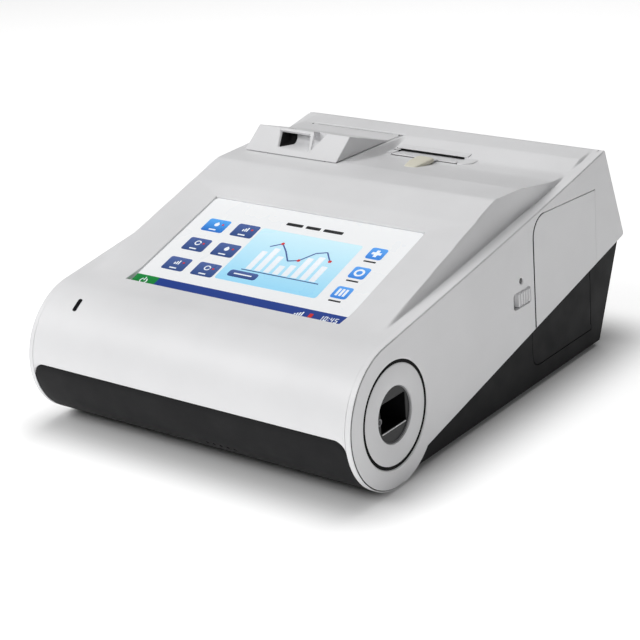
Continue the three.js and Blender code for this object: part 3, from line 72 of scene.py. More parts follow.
# Side outline
BAND_BEND = (BACK_Y - 101.2, TOP_Z - 16.1)
REAR_TOP = (BACK_Y - 24.3, TOP_Z)
KNEE = (BACK_Y, 67.2)
FOOT_ANGLE = radians(-44.55)
SEAM_ANGLE = radians(180.6)
PANEL_END = radians(268)
LIP_RUN = 6.0
LIP_RISE = 4.0

# Raised centre
DECK = TOP_Z - 2.1
RIDGE_Y = 14.7
CROWN_MEET = (RING_Y + 2.1, RING_Z + RING_R)
CROWN_START = RING_Y - 6.9
CROWN_FRONT = HALF - 12.3
CROWN_RIDGE = HALF - 14.8
CROWN_REAR = HALF - 11.3
CROWN_FLARE = 44.3
CROWN_FOOT = 0.7
VALLEY_X = -24.35
VALLEY_EASE, VALLEY_SHIFT = 5.0, 0.4
VALLEY = ((40.0, 0.0), (80.0, 5.6), (97.0, 5.6), (114.0, 0.0))

# Screen
SCREEN_HALF = 77.8
SCREEN_LENGTH = 93.0
SCREEN_FRONT = (RING_Y + 6.8, RING_Z + 40.8)
TILT = atan2(DECK - 3.3 - SCREEN_FRONT[1], RIDGE_Y - SCREEN_FRONT[0])
GLASS_LIP = 1.0
REAR_BEZEL = 10.6
BEZEL_RIM = 1.2


# Small helpers for shapes
def ring_point(angle, radius=RING_R):
    return (RING_Y + radius * cos(angle), RING_Z + radius * sin(angle))


def arc(centre, radius, start, end, steps):
    angles = [start + (end - start) * i / steps for i in range(steps + 1)]
    return [(centre[0] + radius * cos(a), centre[1] + radius * sin(a)) for a in angles]


def rounded(points, radii, steps=5):
    """A closed outline whose corners are replaced by arcs; a radius of 0 keeps the corner."""
    count = len(points)
    loop = []
    for i, point in enumerate(points):
        radius = radii if not isinstance(radii, (list, tuple)) else radii[i]
        if radius <= 0:
            loop.append(tuple(point))
            continue
        here = Vector(point)
        before = Vector(points[i - 1]) - here
        after = Vector(points[(i + 1) % count]) - here
        spread = before.angle(after)
        run = radius / tan(spread / 2)
        start = here + before.normalized() * run
        end = here + after.normalized() * run
        middle = here + (before.normalized() + after.normalized()).normalized() * radius / sin(spread / 2)
        a0 = atan2(start.y - middle.y, start.x - middle.x)
        a1 = atan2(end.y - middle.y, end.x - middle.x)
        turn = (a1 - a0 + pi) % (2 * pi) - pi
        loop += arc(middle, radius, a0, a0 + turn, steps)
    return loop


def rectangle(a0, b0, a1, b1):
    return [(a0, b0), (a1, b0), (a1, b1), (a0, b1)]


def circle(centre, radius, steps):
    return arc(centre, radius, 0, 2 * pi, steps)[:-1]


def smooth_max(a, b, radius):
    h = np.maximum(radius - np.abs(a - b), 0) / radius
    return np.maximum(a, b) + h * h * radius / 4


def smooth_min(a, b, radius):
    return -smooth_max(-a, -b, radius)


# Side outline as a curve
def band_start():
    reach = hypot(BAND_BEND[0] - RING_Y, BAND_BEND[1] - RING_Z)
    angle = atan2(BAND_BEND[1] - RING_Z, BAND_BEND[0] - RING_Y) + acos(RING_R / reach)
    return angle, ring_point(angle)


BAND_ANGLE, BAND_START = band_start()


def band_point(t):
    return tuple(
        (1 - t) ** 2 * BAND_START[i] + 2 * t * (1 - t) * BAND_BEND[i] + t * t * REAR_TOP[i]
        for i in (0, 1)
    )


def band_top(y):
    a = BAND_START[0] - 2 * BAND_BEND[0] + REAR_TOP[0]
    b = BAND_BEND[0] - BAND_START[0]
    t = (-b + np.sqrt(np.maximum(b * b - a * (BAND_START[0] - y), 0))) / a
    return (1 - t) ** 2 * BAND_START[1] + 2 * t * (1 - t) * BAND_BEND[1] + t * t * REAR_TOP[1]


RING_FOOT = ring_point(FOOT_ANGLE)


def lower_edge(y):
    share = (y - RING_FOOT[0]) / (BACK_Y - RING_FOOT[0])
    return RING_FOOT[1] + share * (KNEE[1] - RING_FOOT[1])


def on_screen(along, up):
    return (
        SCREEN_FRONT[0] + along * cos(TILT) - up * sin(TILT),
        SCREEN_FRONT[1] + along * sin(TILT) + up * cos(TILT),
    )


# Meshes
def new_object(name, mesh):
    obj = bpy.data.objects.new(name, mesh)
    bpy.context.scene.collection.objects.link(obj)
    return obj


def mesh_object(name, points, faces):
    mesh = bpy.data.meshes.new(name)
    mesh.from_pydata([tuple(float(v) * MM for v in p) for p in points], [], faces)
    work = bmesh.new()
    work.from_mesh(mesh)
    loose = [v for v in work.verts if not v.link_faces]
    bmesh.ops.delete(work, geom=loose, context="VERTS")
    bmesh.ops.recalc_face_normals(work, faces=work.faces)
    work.to_mesh(mesh)
    work.free()
    return new_object(name, mesh)


def band_faces(rings, count, first=0, closed=False):
    """Faces between rings of points that follow each other; closed joins the last ring to the first."""
    faces = []
    for r in range(rings if closed else rings - 1):
        here, there = first + r * count, first + (r + 1) % rings * count
        for k in range(count):
            after = (k + 1) % count
            faces.append((here + k, here + after, there + after, there + k))
    return faces


def tube(rings):
    """A closed shape through rings of points, with flat ends."""
    count = len(rings[0])
    points = [point for ring in rings for point in ring]
    ends = [tuple(range(count)), tuple(range(len(points) - count, len(points)))]
    return points, ends + band_faces(len(rings), count)


def prism(outline, low, high):
    """An outline of (y, z) points drawn out along x."""
    return tube([[(x, y, z) for y, z in outline] for x in (low, high)])


def gathered(parts):
    """Several closed shapes as one set of points and faces."""
    points, faces = [], []
    for more_points, more_faces in parts:
        first = len(points)
        points += more_points
        faces += [tuple(i + first for i in face) for face in more_faces]
    return points, faces


def leaned(points, side=1):
    """Points of (y, z, across) stood in the leaning side."""
    return [(side * (h - LEAN * z), y, z) for y, z, h in points]


def grid_solid(name, grid, inward, keep):
    """A closed sheet through a grid of points: inward holds each point's way to the inner face."""
    rows, cols = grid.shape[:2]
    outer = grid.reshape(-1, 3)
    inner = (grid + inward).reshape(-1, 3)
    shift = rows * cols
    faces = []

    def kept(r, c):
        return 0 <= r < rows - 1 and 0 <= c < cols - 1 and keep[r, c]

    for r in range(rows - 1):
        for c in range(cols - 1):
            if not keep[r, c]:
                continue
            a = r * cols + c
            corners = (a, a + 1, a + cols + 1, a + cols)
            faces.append(corners)
            faces.append(tuple(v + shift for v in reversed(corners)))
            around = ((r - 1, c), (r, c + 1), (r + 1, c), (r, c - 1))
            for k, (rr, cc) in enumerate(around):
                if not kept(rr, cc):
                    p, q = corners[k], corners[(k + 1) % 4]
                    faces.append((q, p, p + shift, q + shift))
    return mesh_object(name, np.vstack([outer, inner]), faces)


def offset_loop(loop, distance):
    """Moves a closed outline to its left by a distance."""
    points = np.array(loop, float)
    ahead = np.roll(points, -1, axis=0) - points
    ahead /= np.linalg.norm(ahead, axis=1)[:, None]
    behind = np.roll(ahead, 1, axis=0)
    left = np.stack([-ahead[:, 1] - behind[:, 1], ahead[:, 0] + behind[:, 0]], axis=1)
    scale = np.maximum((left ** 2).sum(axis=1) / 2, 0.5)
    return points + left / scale[:, None] * distance


def loop_area(loop):
    p = np.array(loop, float)
    q = np.roll(p, -1, axis=0)
    return float((p[:, 0] * q[:, 1] - q[:, 0] * p[:, 1]).sum() / 2)


def plate_mesh(loops, radii, low, high, levels=0):
    """A flat plate with holes between two heights; each loop's upper edge is rounded by its radius."""
    points, faces, top_rings, low_rings = [], [], [], []
    for k, (loop, radius) in enumerate(zip(loops, radii)):
        loop = [tuple(p) for p in loop]
        wanted = 1 if k == 0 else -1
        if loop_area(loop) * wanted < 0:
            loop.reverse()
        wall = high - radius - low
        rings = [(0, low + wall * i / (levels + 1)) for i in range(levels + 2)]
        for i in range(1, SOFT_STEPS + 1 if radius > 0 else 1):
            angle = pi / 2 * i / SOFT_STEPS
            rings.append((radius * (1 - cos(angle)), high - radius + radius * sin(angle)))
        first, count = len(points), len(loop)
        for distance, height in rings:
            points += [(a, b, height) for a, b in offset_loop(loop, distance)]
        faces += band_faces(len(rings), count, first)
        low_rings.append(range(first, first + count))
        top_rings.append(range(len(points) - count, len(points)))
    for rings in (top_rings, low_rings):
        order = [i for ring in rings for i in ring]
        flat = [[Vector((points[i][0], points[i][1], 0)) for i in ring] for ring in rings]
        faces += [tuple(order[i] for i in tri) for tri in tessellate_polygon(flat)]
    return points, faces


def side_plate(name, loops, radii, inner, outer, side, levels=0, bend=None):
    """A plate in the leaning side: outlines hold (y, z), the rounded face looks outwards."""
    points, faces = plate_mesh(loops, radii, inner, outer, levels=levels)
    if bend:
        points = [(bend(y, z, h), z, h) for y, z, h in points]
    return mesh_object(name, leaned(points, side), faces)


def lathe(name, profile, steps, side, centre=None):
    """Turns (radius, across) points round an axis across the leaning side, the ring's by default."""
    y0, z0 = centre or DISC_CENTRE
    points = []
    for i in range(steps):
        angle = 2 * pi * i / steps
        points += [(y0 + radius * cos(angle), z0 + radius * sin(angle), out) for radius, out in profile]
    return mesh_object(name, leaned(points, side), band_faces(steps, len(profile), closed=True))


def copy_of(node, name):
    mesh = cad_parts[node].data.copy()
    mesh.materials.clear()
    return new_object(name, mesh)


def combine(obj, other, operation="DIFFERENCE"):
    """Cuts a closed mesh out of a piece, or joins it on."""
    modifier = obj.modifiers.new("combine", "BOOLEAN")
    modifier.operation = operation
    modifier.solver = "EXACT"
    modifier.object = other
    apply_modifiers(obj)
    bpy.data.objects.remove(other)
    return obj


def apply_modifiers(obj):
    graph = bpy.context.evaluated_depsgraph_get()
    mesh = bpy.data.meshes.new_from_object(obj.evaluated_get(graph))
    obj.modifiers.clear()
    obj.data = mesh
    return obj


def melted(obj, voxel, rounds):
    """Rounds every edge of a closed shape as moulded plastic has them."""
    remesh = obj.modifiers.new("remesh", "REMESH")
    remesh.mode = "VOXEL"
    remesh.voxel_size = voxel * MM
    smooth = obj.modifiers.new("smooth", "SMOOTH")
    smooth.factor = 0.5
    smooth.iterations = rounds
    return apply_modifiers(obj)


def soft_edges(obj, width, segments=2, angle=32):
    weld = obj.modifiers.new("weld", "WELD")
    weld.merge_threshold = 1e-6
    bevel = obj.modifiers.new("bevel", "BEVEL")
    bevel.width = width * MM
    bevel.segments = segments
    bevel.limit_method = "ANGLE"
    bevel.angle_limit = radians(angle)
    smooth_shade(obj, angle)


def smooth_shade(obj, angle=35):
    mesh = obj.data
    mesh.polygons.foreach_set("use_smooth", [True] * len(mesh.polygons))
    mesh.set_sharp_from_angle(angle=radians(angle))
    weighted = obj.modifiers.new("normals", "WEIGHTED_NORMAL")
    weighted.keep_sharp = True
    weighted.weight = 80


def piece(obj, material, body, slot, *nodes):
    """Gives a new mesh its finish and ties it to the frame."""
    obj.data.materials.clear()
    obj.data.materials.append(material)
    smooth_shade(obj)
    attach(obj, body)
    if nodes:
        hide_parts(*nodes)


def dress(node, material, width=0.4, segments=2):
    """Keeps a CAD node and gives it soft edges and a finish."""
    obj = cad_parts[node]
    obj.data.materials.clear()
    obj.data.materials.append(material)
    soft_edges(obj, width, segments)


# Materials
CLOUD_SCALE, CLOUD_DETAIL = 14, 4
GRAIN_DETAIL, GRAIN_HEIGHT = 2, 0.0001
ROUGH_SCALE, GLASS_SCALE, ROUGH_DETAIL = 60, 40, 3
ROUGH_SHARES = (0.92, 1.1)
DRIFT_ENDS = (0.3, 0.7)
EDGE_LIGHTEN_ENDS = (0.53, 0.62)
EDGE_LIGHTEN_SHARE = 1.35
GLASS_ROUGH = (0.26, 0.32)


def node_material(name):
    material = bpy.data.materials.new(name)
    material.use_nodes = True
    tree = material.node_tree
    shader = tree.nodes["Principled BSDF"]
    return material, tree, shader


def noise(tree, scale, detail):
    place = tree.nodes.new("ShaderNodeTexCoord")
    node = tree.nodes.new("ShaderNodeTexNoise")
    node.inputs["Scale"].default_value = scale
    node.inputs["Detail"].default_value = detail
    tree.links.new(place.outputs["Object"], node.inputs["Vector"])
    return node.outputs["Fac"]


def ramp(tree, source, places, colours):
    """Turns a value into a colour that runs between two places."""
    node = tree.nodes.new("ShaderNodeValToRGB")
    tree.links.new(source, node.inputs["Fac"])
    for element, place, colour in zip(node.color_ramp.elements, places, colours):
        element.position = place
        element.color = (*colour, 1)
    return node.outputs["Color"]


def shade(colour, factor):
    return tuple(min(c * factor, 1) for c in colour)


def grey(value):
    return (value, value, value)


def rough_drift(tree, shader, scale, low, high):
    """A roughness that drifts between two values over the piece."""
    drift = ramp(tree, noise(tree, scale, ROUGH_DETAIL), DRIFT_ENDS, (grey(low), grey(high)))
    tree.links.new(drift, shader.inputs["Roughness"])


def moulded(name, colour, roughness, grain=900, depth=0.25, spread=0.04, edge_lighten=0.10, metal=0.0, gloss=0.5):
    """Moulded plastic or metal: faint cloudy colour, fine grain in the bump, lighter on sharp outer edges."""
    material, tree, shader = node_material(name)
    cloud = noise(tree, CLOUD_SCALE, CLOUD_DETAIL)
    tint = ramp(tree, cloud, DRIFT_ENDS, (shade(colour, 1 - spread), shade(colour, 1 + spread)))
    geometry = tree.nodes.new("ShaderNodeNewGeometry")
    edge = ramp(tree, geometry.outputs["Pointiness"], EDGE_LIGHTEN_ENDS, (grey(0), grey(edge_lighten)))
    mix = tree.nodes.new("ShaderNodeMix")
    mix.data_type = "RGBA"
    mix.inputs["B"].default_value = (*shade(colour, EDGE_LIGHTEN_SHARE), 1)
    tree.links.new(edge, mix.inputs["Factor"])
    tree.links.new(tint, mix.inputs["A"])
    tree.links.new(mix.outputs["Result"], shader.inputs["Base Color"])
    low, high = ROUGH_SHARES
    rough_drift(tree, shader, ROUGH_SCALE, roughness * low, roughness * high)
    bump = tree.nodes.new("ShaderNodeBump")
    bump.inputs["Strength"].default_value = depth
    bump.inputs["Distance"].default_value = GRAIN_HEIGHT
    tree.links.new(noise(tree, grain, GRAIN_DETAIL), bump.inputs["Height"])
    tree.links.new(bump.outputs["Normal"], shader.inputs["Normal"])
    shader.inputs["Metallic"].default_value = metal
    shader.inputs["Specular IOR Level"].default_value = gloss
    return material


def display(name, near, far, glow=0.34):
    """A lit colour under the screen glass, running from the piece's near edge to its far edge."""
    material, tree, shader = node_material(name)
    place = tree.nodes.new("ShaderNodeTexCoord")
    split = tree.nodes.new("ShaderNodeSeparateXYZ")
    tree.links.new(place.outputs["Generated"], split.inputs["Vector"])
    tint = ramp(tree, split.outputs["Y"], (0, 1), (near, far))
    tree.links.new(tint, shader.inputs["Base Color"])
    tree.links.new(tint, shader.inputs["Emission Color"])
    shader.inputs["Emission Strength"].default_value = glow
    rough_drift(tree, shader, GLASS_SCALE, *GLASS_ROUGH)
    shader.inputs["Specular IOR Level"].default_value = 0.4
    return material


WHITE = moulded("shell_white", (0.80, 0.80, 0.81), 0.42)
DISC_WHITE = moulded("disc_grey", (0.74, 0.74, 0.75), 0.4)
BLACK = moulded(
    "tray_black", (0.011, 0.011, 0.012), 0.6, grain=700, depth=0.5, spread=0.12, edge_lighten=0.03, gloss=0.16,
)
PIT_BLACK = moulded("tunnel_black", (0.006, 0.006, 0.007), 0.3, spread=0.1, edge_lighten=0.03, gloss=0.25)
# Black for sheets set behind gaps, grooves, dimples and hollows: painted shade.
PAINTED_SHADE_BLACK = moulded("painted_shade_black", (0.012, 0.012, 0.012), 0.8, spread=0.1, edge_lighten=0.0, gloss=0.1)
# A grey that paints shade in recesses and thin gaps: the latch carrier deep in its window, the paper slit and
# the hinge seam line.
RECESS_SHADE_GREY = moulded("recess_shade_grey", (0.30, 0.30, 0.31), 0.5, spread=0.06)
SEAL_GREY = moulded("seal_grey", (0.22, 0.22, 0.23), 0.4, spread=0.08, edge_lighten=0.05)
GLASS_BLACK = moulded("dark_lens", (0.01, 0.01, 0.012), 0.1, grain=200, depth=0.02, spread=0.1, edge_lighten=0.02)
METAL = moulded("metal_grey", (0.55, 0.56, 0.58), 0.32, grain=500, spread=0.06, edge_lighten=0.2, metal=1.0)
CREAM = moulded("cream_rubber", (0.78, 0.75, 0.63), 0.5, grain=500, depth=0.2, spread=0.05, edge_lighten=0.05)
PAPER = moulded(
    "paper_white", (0.84, 0.83, 0.79), 0.85, grain=1500, depth=0.4, spread=0.02, edge_lighten=0.0, gloss=0.2,
)
RUBBER = moulded(
    "rubber_black", (0.014, 0.014, 0.015), 0.8, grain=1200, depth=0.7, spread=0.15, edge_lighten=0.04, gloss=0.2,
)
BOARD = moulded("board_green", (0.02, 0.13, 0.06), 0.35, grain=300, spread=0.15, edge_lighten=0.05)
PACK = moulded("pack_plastic", (0.42, 0.52, 0.62), 0.35, grain=600, spread=0.05, edge_lighten=0.1)
WRAP = moulded("battery_wrap", (0.05, 0.06, 0.08), 0.4, grain=500, spread=0.1, edge_lighten=0.08)
DISPLAY_WHITE = display("display_white", (0.72, 0.73, 0.74), (0.76, 0.77, 0.78))
DISPLAY_DARK = display("display_dark", (0.030, 0.065, 0.20), (0.075, 0.12, 0.31))
DISPLAY_BRIGHT = display("display_bright", (0.02, 0.14, 0.50), (0.09, 0.36, 0.80))
DISPLAY_ICON = display("display_icon", (0.04, 0.20, 0.62), (0.10, 0.34, 0.80))
DISPLAY_SKY = display("display_sky", (0.28, 0.60, 0.80), (0.56, 0.78, 0.86))
DISPLAY_NAVY = display("display_navy", (0.016, 0.040, 0.20), (0.020, 0.048, 0.23))
DISPLAY_GREEN = display("display_green", (0.008, 0.16, 0.03), (0.012, 0.21, 0.045))
DISPLAY_MARK = display("display_mark", (0.70, 0.74, 0.78), (0.80, 0.84, 0.88))
DISPLAY_INK = display("display_ink", (0.02, 0.02, 0.022), (0.028, 0.028, 0.03), 0.05)
DISPLAY_RED = display("display_red", (0.50, 0.03, 0.03), (0.60, 0.05, 0.05))


# Upper housing: one skin over the front edge, the slope, the deck and the rear face
GLASS_HOLE = (
    -SCREEN_HALF - FIT, SCREEN_HALF + FIT, on_screen(-FIT, GLASS_LIP)[0],
    on_screen(SCREEN_LENGTH + FIT, GLASS_LIP)[0],
)
BAY = (-95.5, -27.5, 40.0, 109.5)
GROOVE = (-98.45, -24.55, 106.9, 115.25)
SLOT_HOLE = (-16.4, 34.4, 86.2, 101.0)
OPENINGS = (GLASS_HOLE, BAY, GROOVE, SLOT_HOLE)
GROOVE_FLOOR = 124.0
BAY_SINK = 2.9
SLOT_SINK = 2.4
GLASS_SINK = 3.2
HOUSING_WALL = 1.6
HOLE_EDGE = 0.5
EDGE_ROUND = 0.5
INNER_X = 109.0
WALL_X = 100.5
COLUMN_STEP, WALL_STEP, EASE_STEP = 2.0, 0.45, 0.4
ROW_START, ROW_END, ROW_STEP = 0.8, 3.0, 1.6
EASE_START = 1.2
CORNER_R = 8.0
FRONT_ROWS = 44
SEAM_LIP = 0.5
OUTER_EDGE = 0.9
TAIL_RUN = 2.5
STRIP_SHARES = (0.15, 0.3, 0.45, 0.6, 0.75, 0.9)
EDGE_STEPS = ((0.5, 0.0), (0.0, 0.0), (0.0, 3.0))
LIP_ROWS = 1.5
SIDE_BLEND, END_BLEND, BEZEL_BLEND = 0.3, 0.2, 0.5
DIP_BLEND, CROWN_BLEND, VALLEY_BLEND = 0.5, 0.9, 0.3
WALL_BLEND, SCREEN_BLEND, BAND_BLEND = 1.8, 0.4, 0.8
FLARE_POWER = 1.2
TAIL_START, TAIL_BEFORE = 0.97, 0.96
PROFILE_STEP = 5.0
KNEE_ROUND, REAR_ROUND, LIP_ROUND = 1.6, 2.2, 0.8
BREAK_STEPS = (0.02, 0.12, 0.3, 0.6, 1.2)
FINE_ROWS = (
    (CROWN_MEET[0] - 1, GLASS_HOLE[2] + 0.5, 0.4), (-21, -6, 0.6), (RIDGE_Y - 6, RIDGE_Y + 6, 0.7),
    (37, 43, 0.6), (77, 83, 0.6), (94, 99.5, 0.6), (111, 116, 0.6),
)


def crown_line(y):
    return CROWN_MEET[1] + (y - CROWN_MEET[0]) / (RIDGE_Y - CROWN_MEET[0]) * (DECK - CROWN_MEET[1])


def crown_half(y):
    front = CROWN_FRONT + (y - CROWN_START) / (RIDGE_Y - CROWN_START) * (CROWN_RIDGE - CROWN_FRONT)
    flare = np.clip((y - RIDGE_Y) / CROWN_FLARE, 0, 1)
    rear = CROWN_RIDGE + (CROWN_REAR - CROWN_RIDGE) * (1 - (1 - flare) ** FLARE_POWER)
    return np.where(y < RIDGE_Y, front, rear)


def lip_height(y):
    """The slope that the screen's surround follows, a little over the glass."""
    return SCREEN_FRONT[1] + (y - SCREEN_FRONT[0]) * tan(TILT) + GLASS_LIP / cos(TILT)


def bezel_height(x, y):
    """The surround: four faces that rise from the glass's edge to the outer edge of the screen's place."""
    _, x1, y0, y1 = GLASS_HOLE
    lip = lip_height(y)
    rear_y = on_screen(SCREEN_LENGTH, 0)[0] + REAR_BEZEL
    rear_z = crown_line(rear_y)
    front_y, front_z = CROWN_MEET[0], band_top(np.array(CROWN_MEET[0])) + FIT
    share = (y - front_y) / (rear_y - front_y)
    open_z = front_z + share * (rear_z - front_z)
    open_x = CROWN_FRONT - BEZEL_RIM + share * (crown_half(np.array(rear_y)) - CROWN_FRONT)
    sides = lip + (np.abs(x) - x1) * (open_z - lip) / (open_x - x1)
    rear = lip_height(y1) + (y - y1) * (rear_z - lip_height(y1)) / (rear_y - y1)
    front = lip_height(y0) + (y0 - y) * (front_z - lip_height(y0)) / (y0 - front_y)
    return smooth_max(smooth_max(lip, sides, SIDE_BLEND), smooth_max(rear, front, END_BLEND), BEZEL_BLEND)


def deck_height(x, y):
    """The deck behind the screen, with the valley that leads the cartridge down into its slot."""
    (start, _), (foot, deep), (turn, rear_deep), (end, _) = VALLEY
    rise = DECK + np.maximum(y - end, 0) / (REAR_TOP[0] - end) * (REAR_TOP[1] - DECK)
    fall = DECK - (y - start) * deep / (foot - start)
    climb = DECK - (end - y) * rear_deep / (end - turn)
    dip = smooth_max(smooth_max(fall, np.full_like(y, DECK - deep), DIP_BLEND), climb, DIP_BLEND)
    depth = np.clip((x - VALLEY_X + VALLEY_SHIFT) / VALLEY_EASE, 0, 1)
    dip = rise + (np.minimum(dip, rise) - rise) * depth * depth * (3 - 2 * depth)
    return smooth_min(smooth_min(crown_line(y), rise, CROWN_BLEND), dip, VALLEY_BLEND)


def top_height(x, y):
    top = deck_height(x, y)
    band = band_top(y)
    half = crown_half(y)
    wide = np.maximum(half, CROWN_FRONT) + CROWN_FOOT
    foot = np.minimum(band, top) - FIT
    wall = foot + (top - foot) * (wide - np.abs(x)) / (wide - half)
    body = smooth_min(smooth_min(top, wall, WALL_BLEND), bezel_height(x, y), SCREEN_BLEND)
    return smooth_max(body, band, BAND_BLEND)


def inside(x, y, region):
    return (x > region[0]) & (x < region[1]) & (y > region[2]) & (y < region[3])


def edge_drop(x, y, region):
    """How far the surface falls just outside an opening, so that its rim is rounded."""
    dx = np.maximum(np.maximum(region[0] - x, x - region[1]), 0)
    dy = np.maximum(np.maximum(region[2] - y, y - region[3]), 0)
    gap = np.clip(EDGE_ROUND - np.hypot(dx, dy), 0, EDGE_ROUND)
    return np.where(inside(x, y, region), 0, EDGE_ROUND - np.sqrt(EDGE_ROUND ** 2 - gap ** 2))


def breaks(values):
    return [v + side * step for v in values for step in BREAK_STEPS for side in (-1, 1)]


def merged(values, least=0.03):
    result = []
    for value in sorted(values):
        if not result or value - result[-1] > least:
            result.append(value)
    return result


def housing_columns():
    base = list(np.arange(-INNER_X, INNER_X + 0.1, COLUMN_STEP))
    walls = [side * v for side in (-1, 1) for v in np.arange(WALL_X, INNER_X + 0.1, WALL_STEP)]
    cuts = breaks([x for opening in OPENINGS for x in opening[:2]])
    ease = list(np.arange(VALLEY_X - EASE_START, VALLEY_X + VALLEY_EASE, EASE_STEP))
    return merged(base + walls + cuts + ease + [-INNER_X, INNER_X])


def housing_rows():
    rows = list(np.arange(BAND_START[0] + ROW_START, REAR_TOP[0] - ROW_END, ROW_STEP))
    for start, end, step in FINE_ROWS:
        rows += list(np.arange(start, end, step))
    rows += breaks([y for opening in OPENINGS for y in opening[2:]])
    return [v for v in merged(rows) if v < REAR_TOP[0] - TAIL_RUN]


def rear_profile():
    """The rounded rear edge, the rear face, the knee and the lip under it, each with its outward way."""
    lip_y = BACK_Y - LIP_RUN
    lip_z = lower_edge(lip_y)
    corners = [band_point(TAIL_START), REAR_TOP, KNEE, (lip_y, lip_z), (lip_y, lip_z + LIP_RISE)]
    loop = rounded(corners, [0, REAR_ROUND, KNEE_ROUND, LIP_ROUND, 0], 6)
    points = []
    for a, b in zip(loop[1:-1], loop[2:]):
        steps = max(1, int(hypot(b[0] - a[0], b[1] - a[1]) / PROFILE_STEP))
        points += [(a[0] + (b[0] - a[0]) * i / steps, a[1] + (b[1] - a[1]) * i / steps) for i in range(steps)]
    return points + [loop[-1]]


def profile_normals(points):
    p = np.array(points, float)
    way = np.gradient(p, axis=0)
    way /= np.linalg.norm(way, axis=1)[:, None]
    return np.stack([-way[:, 1], way[:, 0]], axis=1)


def corner_extra(x, edge):
    """How much further down the front the housing's rounded lower corners reach, as an angle."""
    into = np.clip(np.abs(x) - (edge - CORNER_R), 0, CORNER_R)
    return (CORNER_R - np.sqrt(CORNER_R ** 2 - into ** 2)) / RING_R


def across(x_inner, edge):
    """The x of every column at one row whose edge is known, with the drop of each along the normal."""
    strip = INNER_X + (edge - OUTER_EDGE - INNER_X) * np.array(STRIP_SHARES)
    right = [(x, 0.0) for x in strip] + [(edge - drop_in, drop) for drop_in, drop in EDGE_STEPS]
    left = [(-x, drop) for x, drop in reversed(right)]
    both = left + [(x, 0.0) for x in x_inner] + right
    return np.array([b[0] for b in both]), np.array([b[1] for b in both])


def ring_row(x, drop, edge, share, end, lip, gap=0.0):
    """A row of a skin round the front edge, at a share of the way from the seam to its end."""
    start = SEAM_ANGLE + corner_extra(x, edge) + gap
    angle = start + (end - start) * share
    radius = RING_R - drop - lip
    ny, nz = np.cos(angle), np.sin(angle)
    points = np.stack([x, RING_Y + radius * ny, RING_Z + radius * nz], axis=1)
    return points, np.stack([0 * x, ny, nz], axis=1)


def ring_edge(share, end):
    """The half width of the skin at that share."""
    _, z = ring_point(SEAM_ANGLE + (end - SEAM_ANGLE) * share)
    return SHELL_HALF - LEAN * z


def front_rows(columns):
    rows = []
    for k in range(FRONT_ROWS + 1):
        share = k / FRONT_ROWS
        edge = ring_edge(share, BAND_ANGLE)
        x, drop = across(columns, edge)
        rows.append(ring_row(x, drop, edge, share, BAND_ANGLE, SEAM_LIP * max(0.0, 1 - k / LIP_ROWS)))
    return rows


def top_row(columns, y):
    """A row over the top, with the rounded rims and sunken floors of the openings."""
    x, drop = across(columns, SHELL_HALF - LEAN * float(band_top(np.array(y))))
    yy = np.full_like(x, y)
    z = top_height(x, yy)
    for region in OPENINGS:
        z = z - edge_drop(x, yy, region)
    z = np.where(inside(x, yy, GROOVE), np.minimum(z, GROOVE_FLOOR), z)
    z = np.where(inside(x, yy, BAY), DECK - BAY_SINK, z)
    z = np.where(inside(x, yy, SLOT_HOLE), z - SLOT_SINK, z)
    depth = np.where(inside(x, yy, GLASS_HOLE), GLASS_SINK, 0.0)
    points = np.stack([x, yy + depth * sin(TILT), z - depth * cos(TILT) - drop], axis=1)
    return points, np.tile([0.0, 0.0, 1.0], (len(x), 1))


def rear_rows(columns):
    rows = []
    profile = rear_profile()
    ways = profile_normals([band_point(TAIL_BEFORE)] + profile)[1:]
    for (y, z), (ny, nz) in zip(profile, ways):
        x, drop = across(columns, SHELL_HALF - LEAN * z)
        points = np.stack([x, y - drop * ny, z - drop * nz], axis=1)
        rows.append((points, np.tile([0.0, ny, nz], (len(x), 1))))
    return rows


def build_housing():
    columns = housing_columns()
    top = [top_row(columns, y) for y in housing_rows()]
    rows = front_rows(columns) + top + rear_rows(columns)
    grid, normals = (np.array([row[i] for row in rows]) for i in (0, 1))
    middle = (grid[:-1, :-1] + grid[1:, 1:]) / 2
    cx, cy = middle[:, :, 0], middle[:, :, 1]
    on_top = np.zeros(cx.shape, bool)
    on_top[FRONT_ROWS + 1:FRONT_ROWS + 1 + len(top)] = True
    keep = np.ones(cx.shape, bool)
    for x0, x1, y0, y1 in (BAY, SLOT_HOLE):
        hole = (x0 + HOLE_EDGE, x1 - HOLE_EDGE, y0 + HOLE_EDGE, y1 - HOLE_EDGE)
        keep &= ~(inside(cx, cy, hole) & on_top)
    shell = grid_solid("housing_shell", grid, -HOUSING_WALL * normals, keep)
    piece(shell, WHITE, "chassis", "shell_white", "upper_housing")


build_housing()


# Side panels, door and latch window
DOOR_SKIN_LOW, DOOR_SKIN_HIGH = node_box("door_skin")
DOOR_FRONT, DOOR_REAR, DOOR_TOP = DOOR_SKIN_LOW.y, DOOR_SKIN_HIGH.y, DOOR_SKIN_HIGH.z
DOOR_FALL = 3.2
DOOR_CORNER = 13.0
DOOR_INSET = 0.2
EDGE_SHADE_WIDTH, EDGE_SHADE_SINK = 0.3, 0.12
NOTCH_FRONT, NOTCH_SHIFT, NOTCH_GAP, NOTCH_REAR = 1.0, 0.6, 0.4, 0.16
DOOR_AXIS_Y = DOOR_REAR - PLATE / 2
HINGE_R = hypot(PLATE / 2, DOOR_REAR - DOOR_AXIS_Y)
HINGE_CLEAR = 0.12
HINGE_LEVELS = 5
BEND_REACH = 0.75
PLATE_SOFT, HOLE_SOFT, LAMP_SOFT = 0.4, 1.1, 1.4
LATCH_LOW, LATCH_HIGH = node_box("latch_slider")
LAMP_LOW, LAMP_HIGH = node_box("latch_lamp")
LATCH_LAMP = ((LAMP_LOW.y + LAMP_HIGH.y) / 2, (LAMP_LOW.z + LAMP_HIGH.z) / 2)
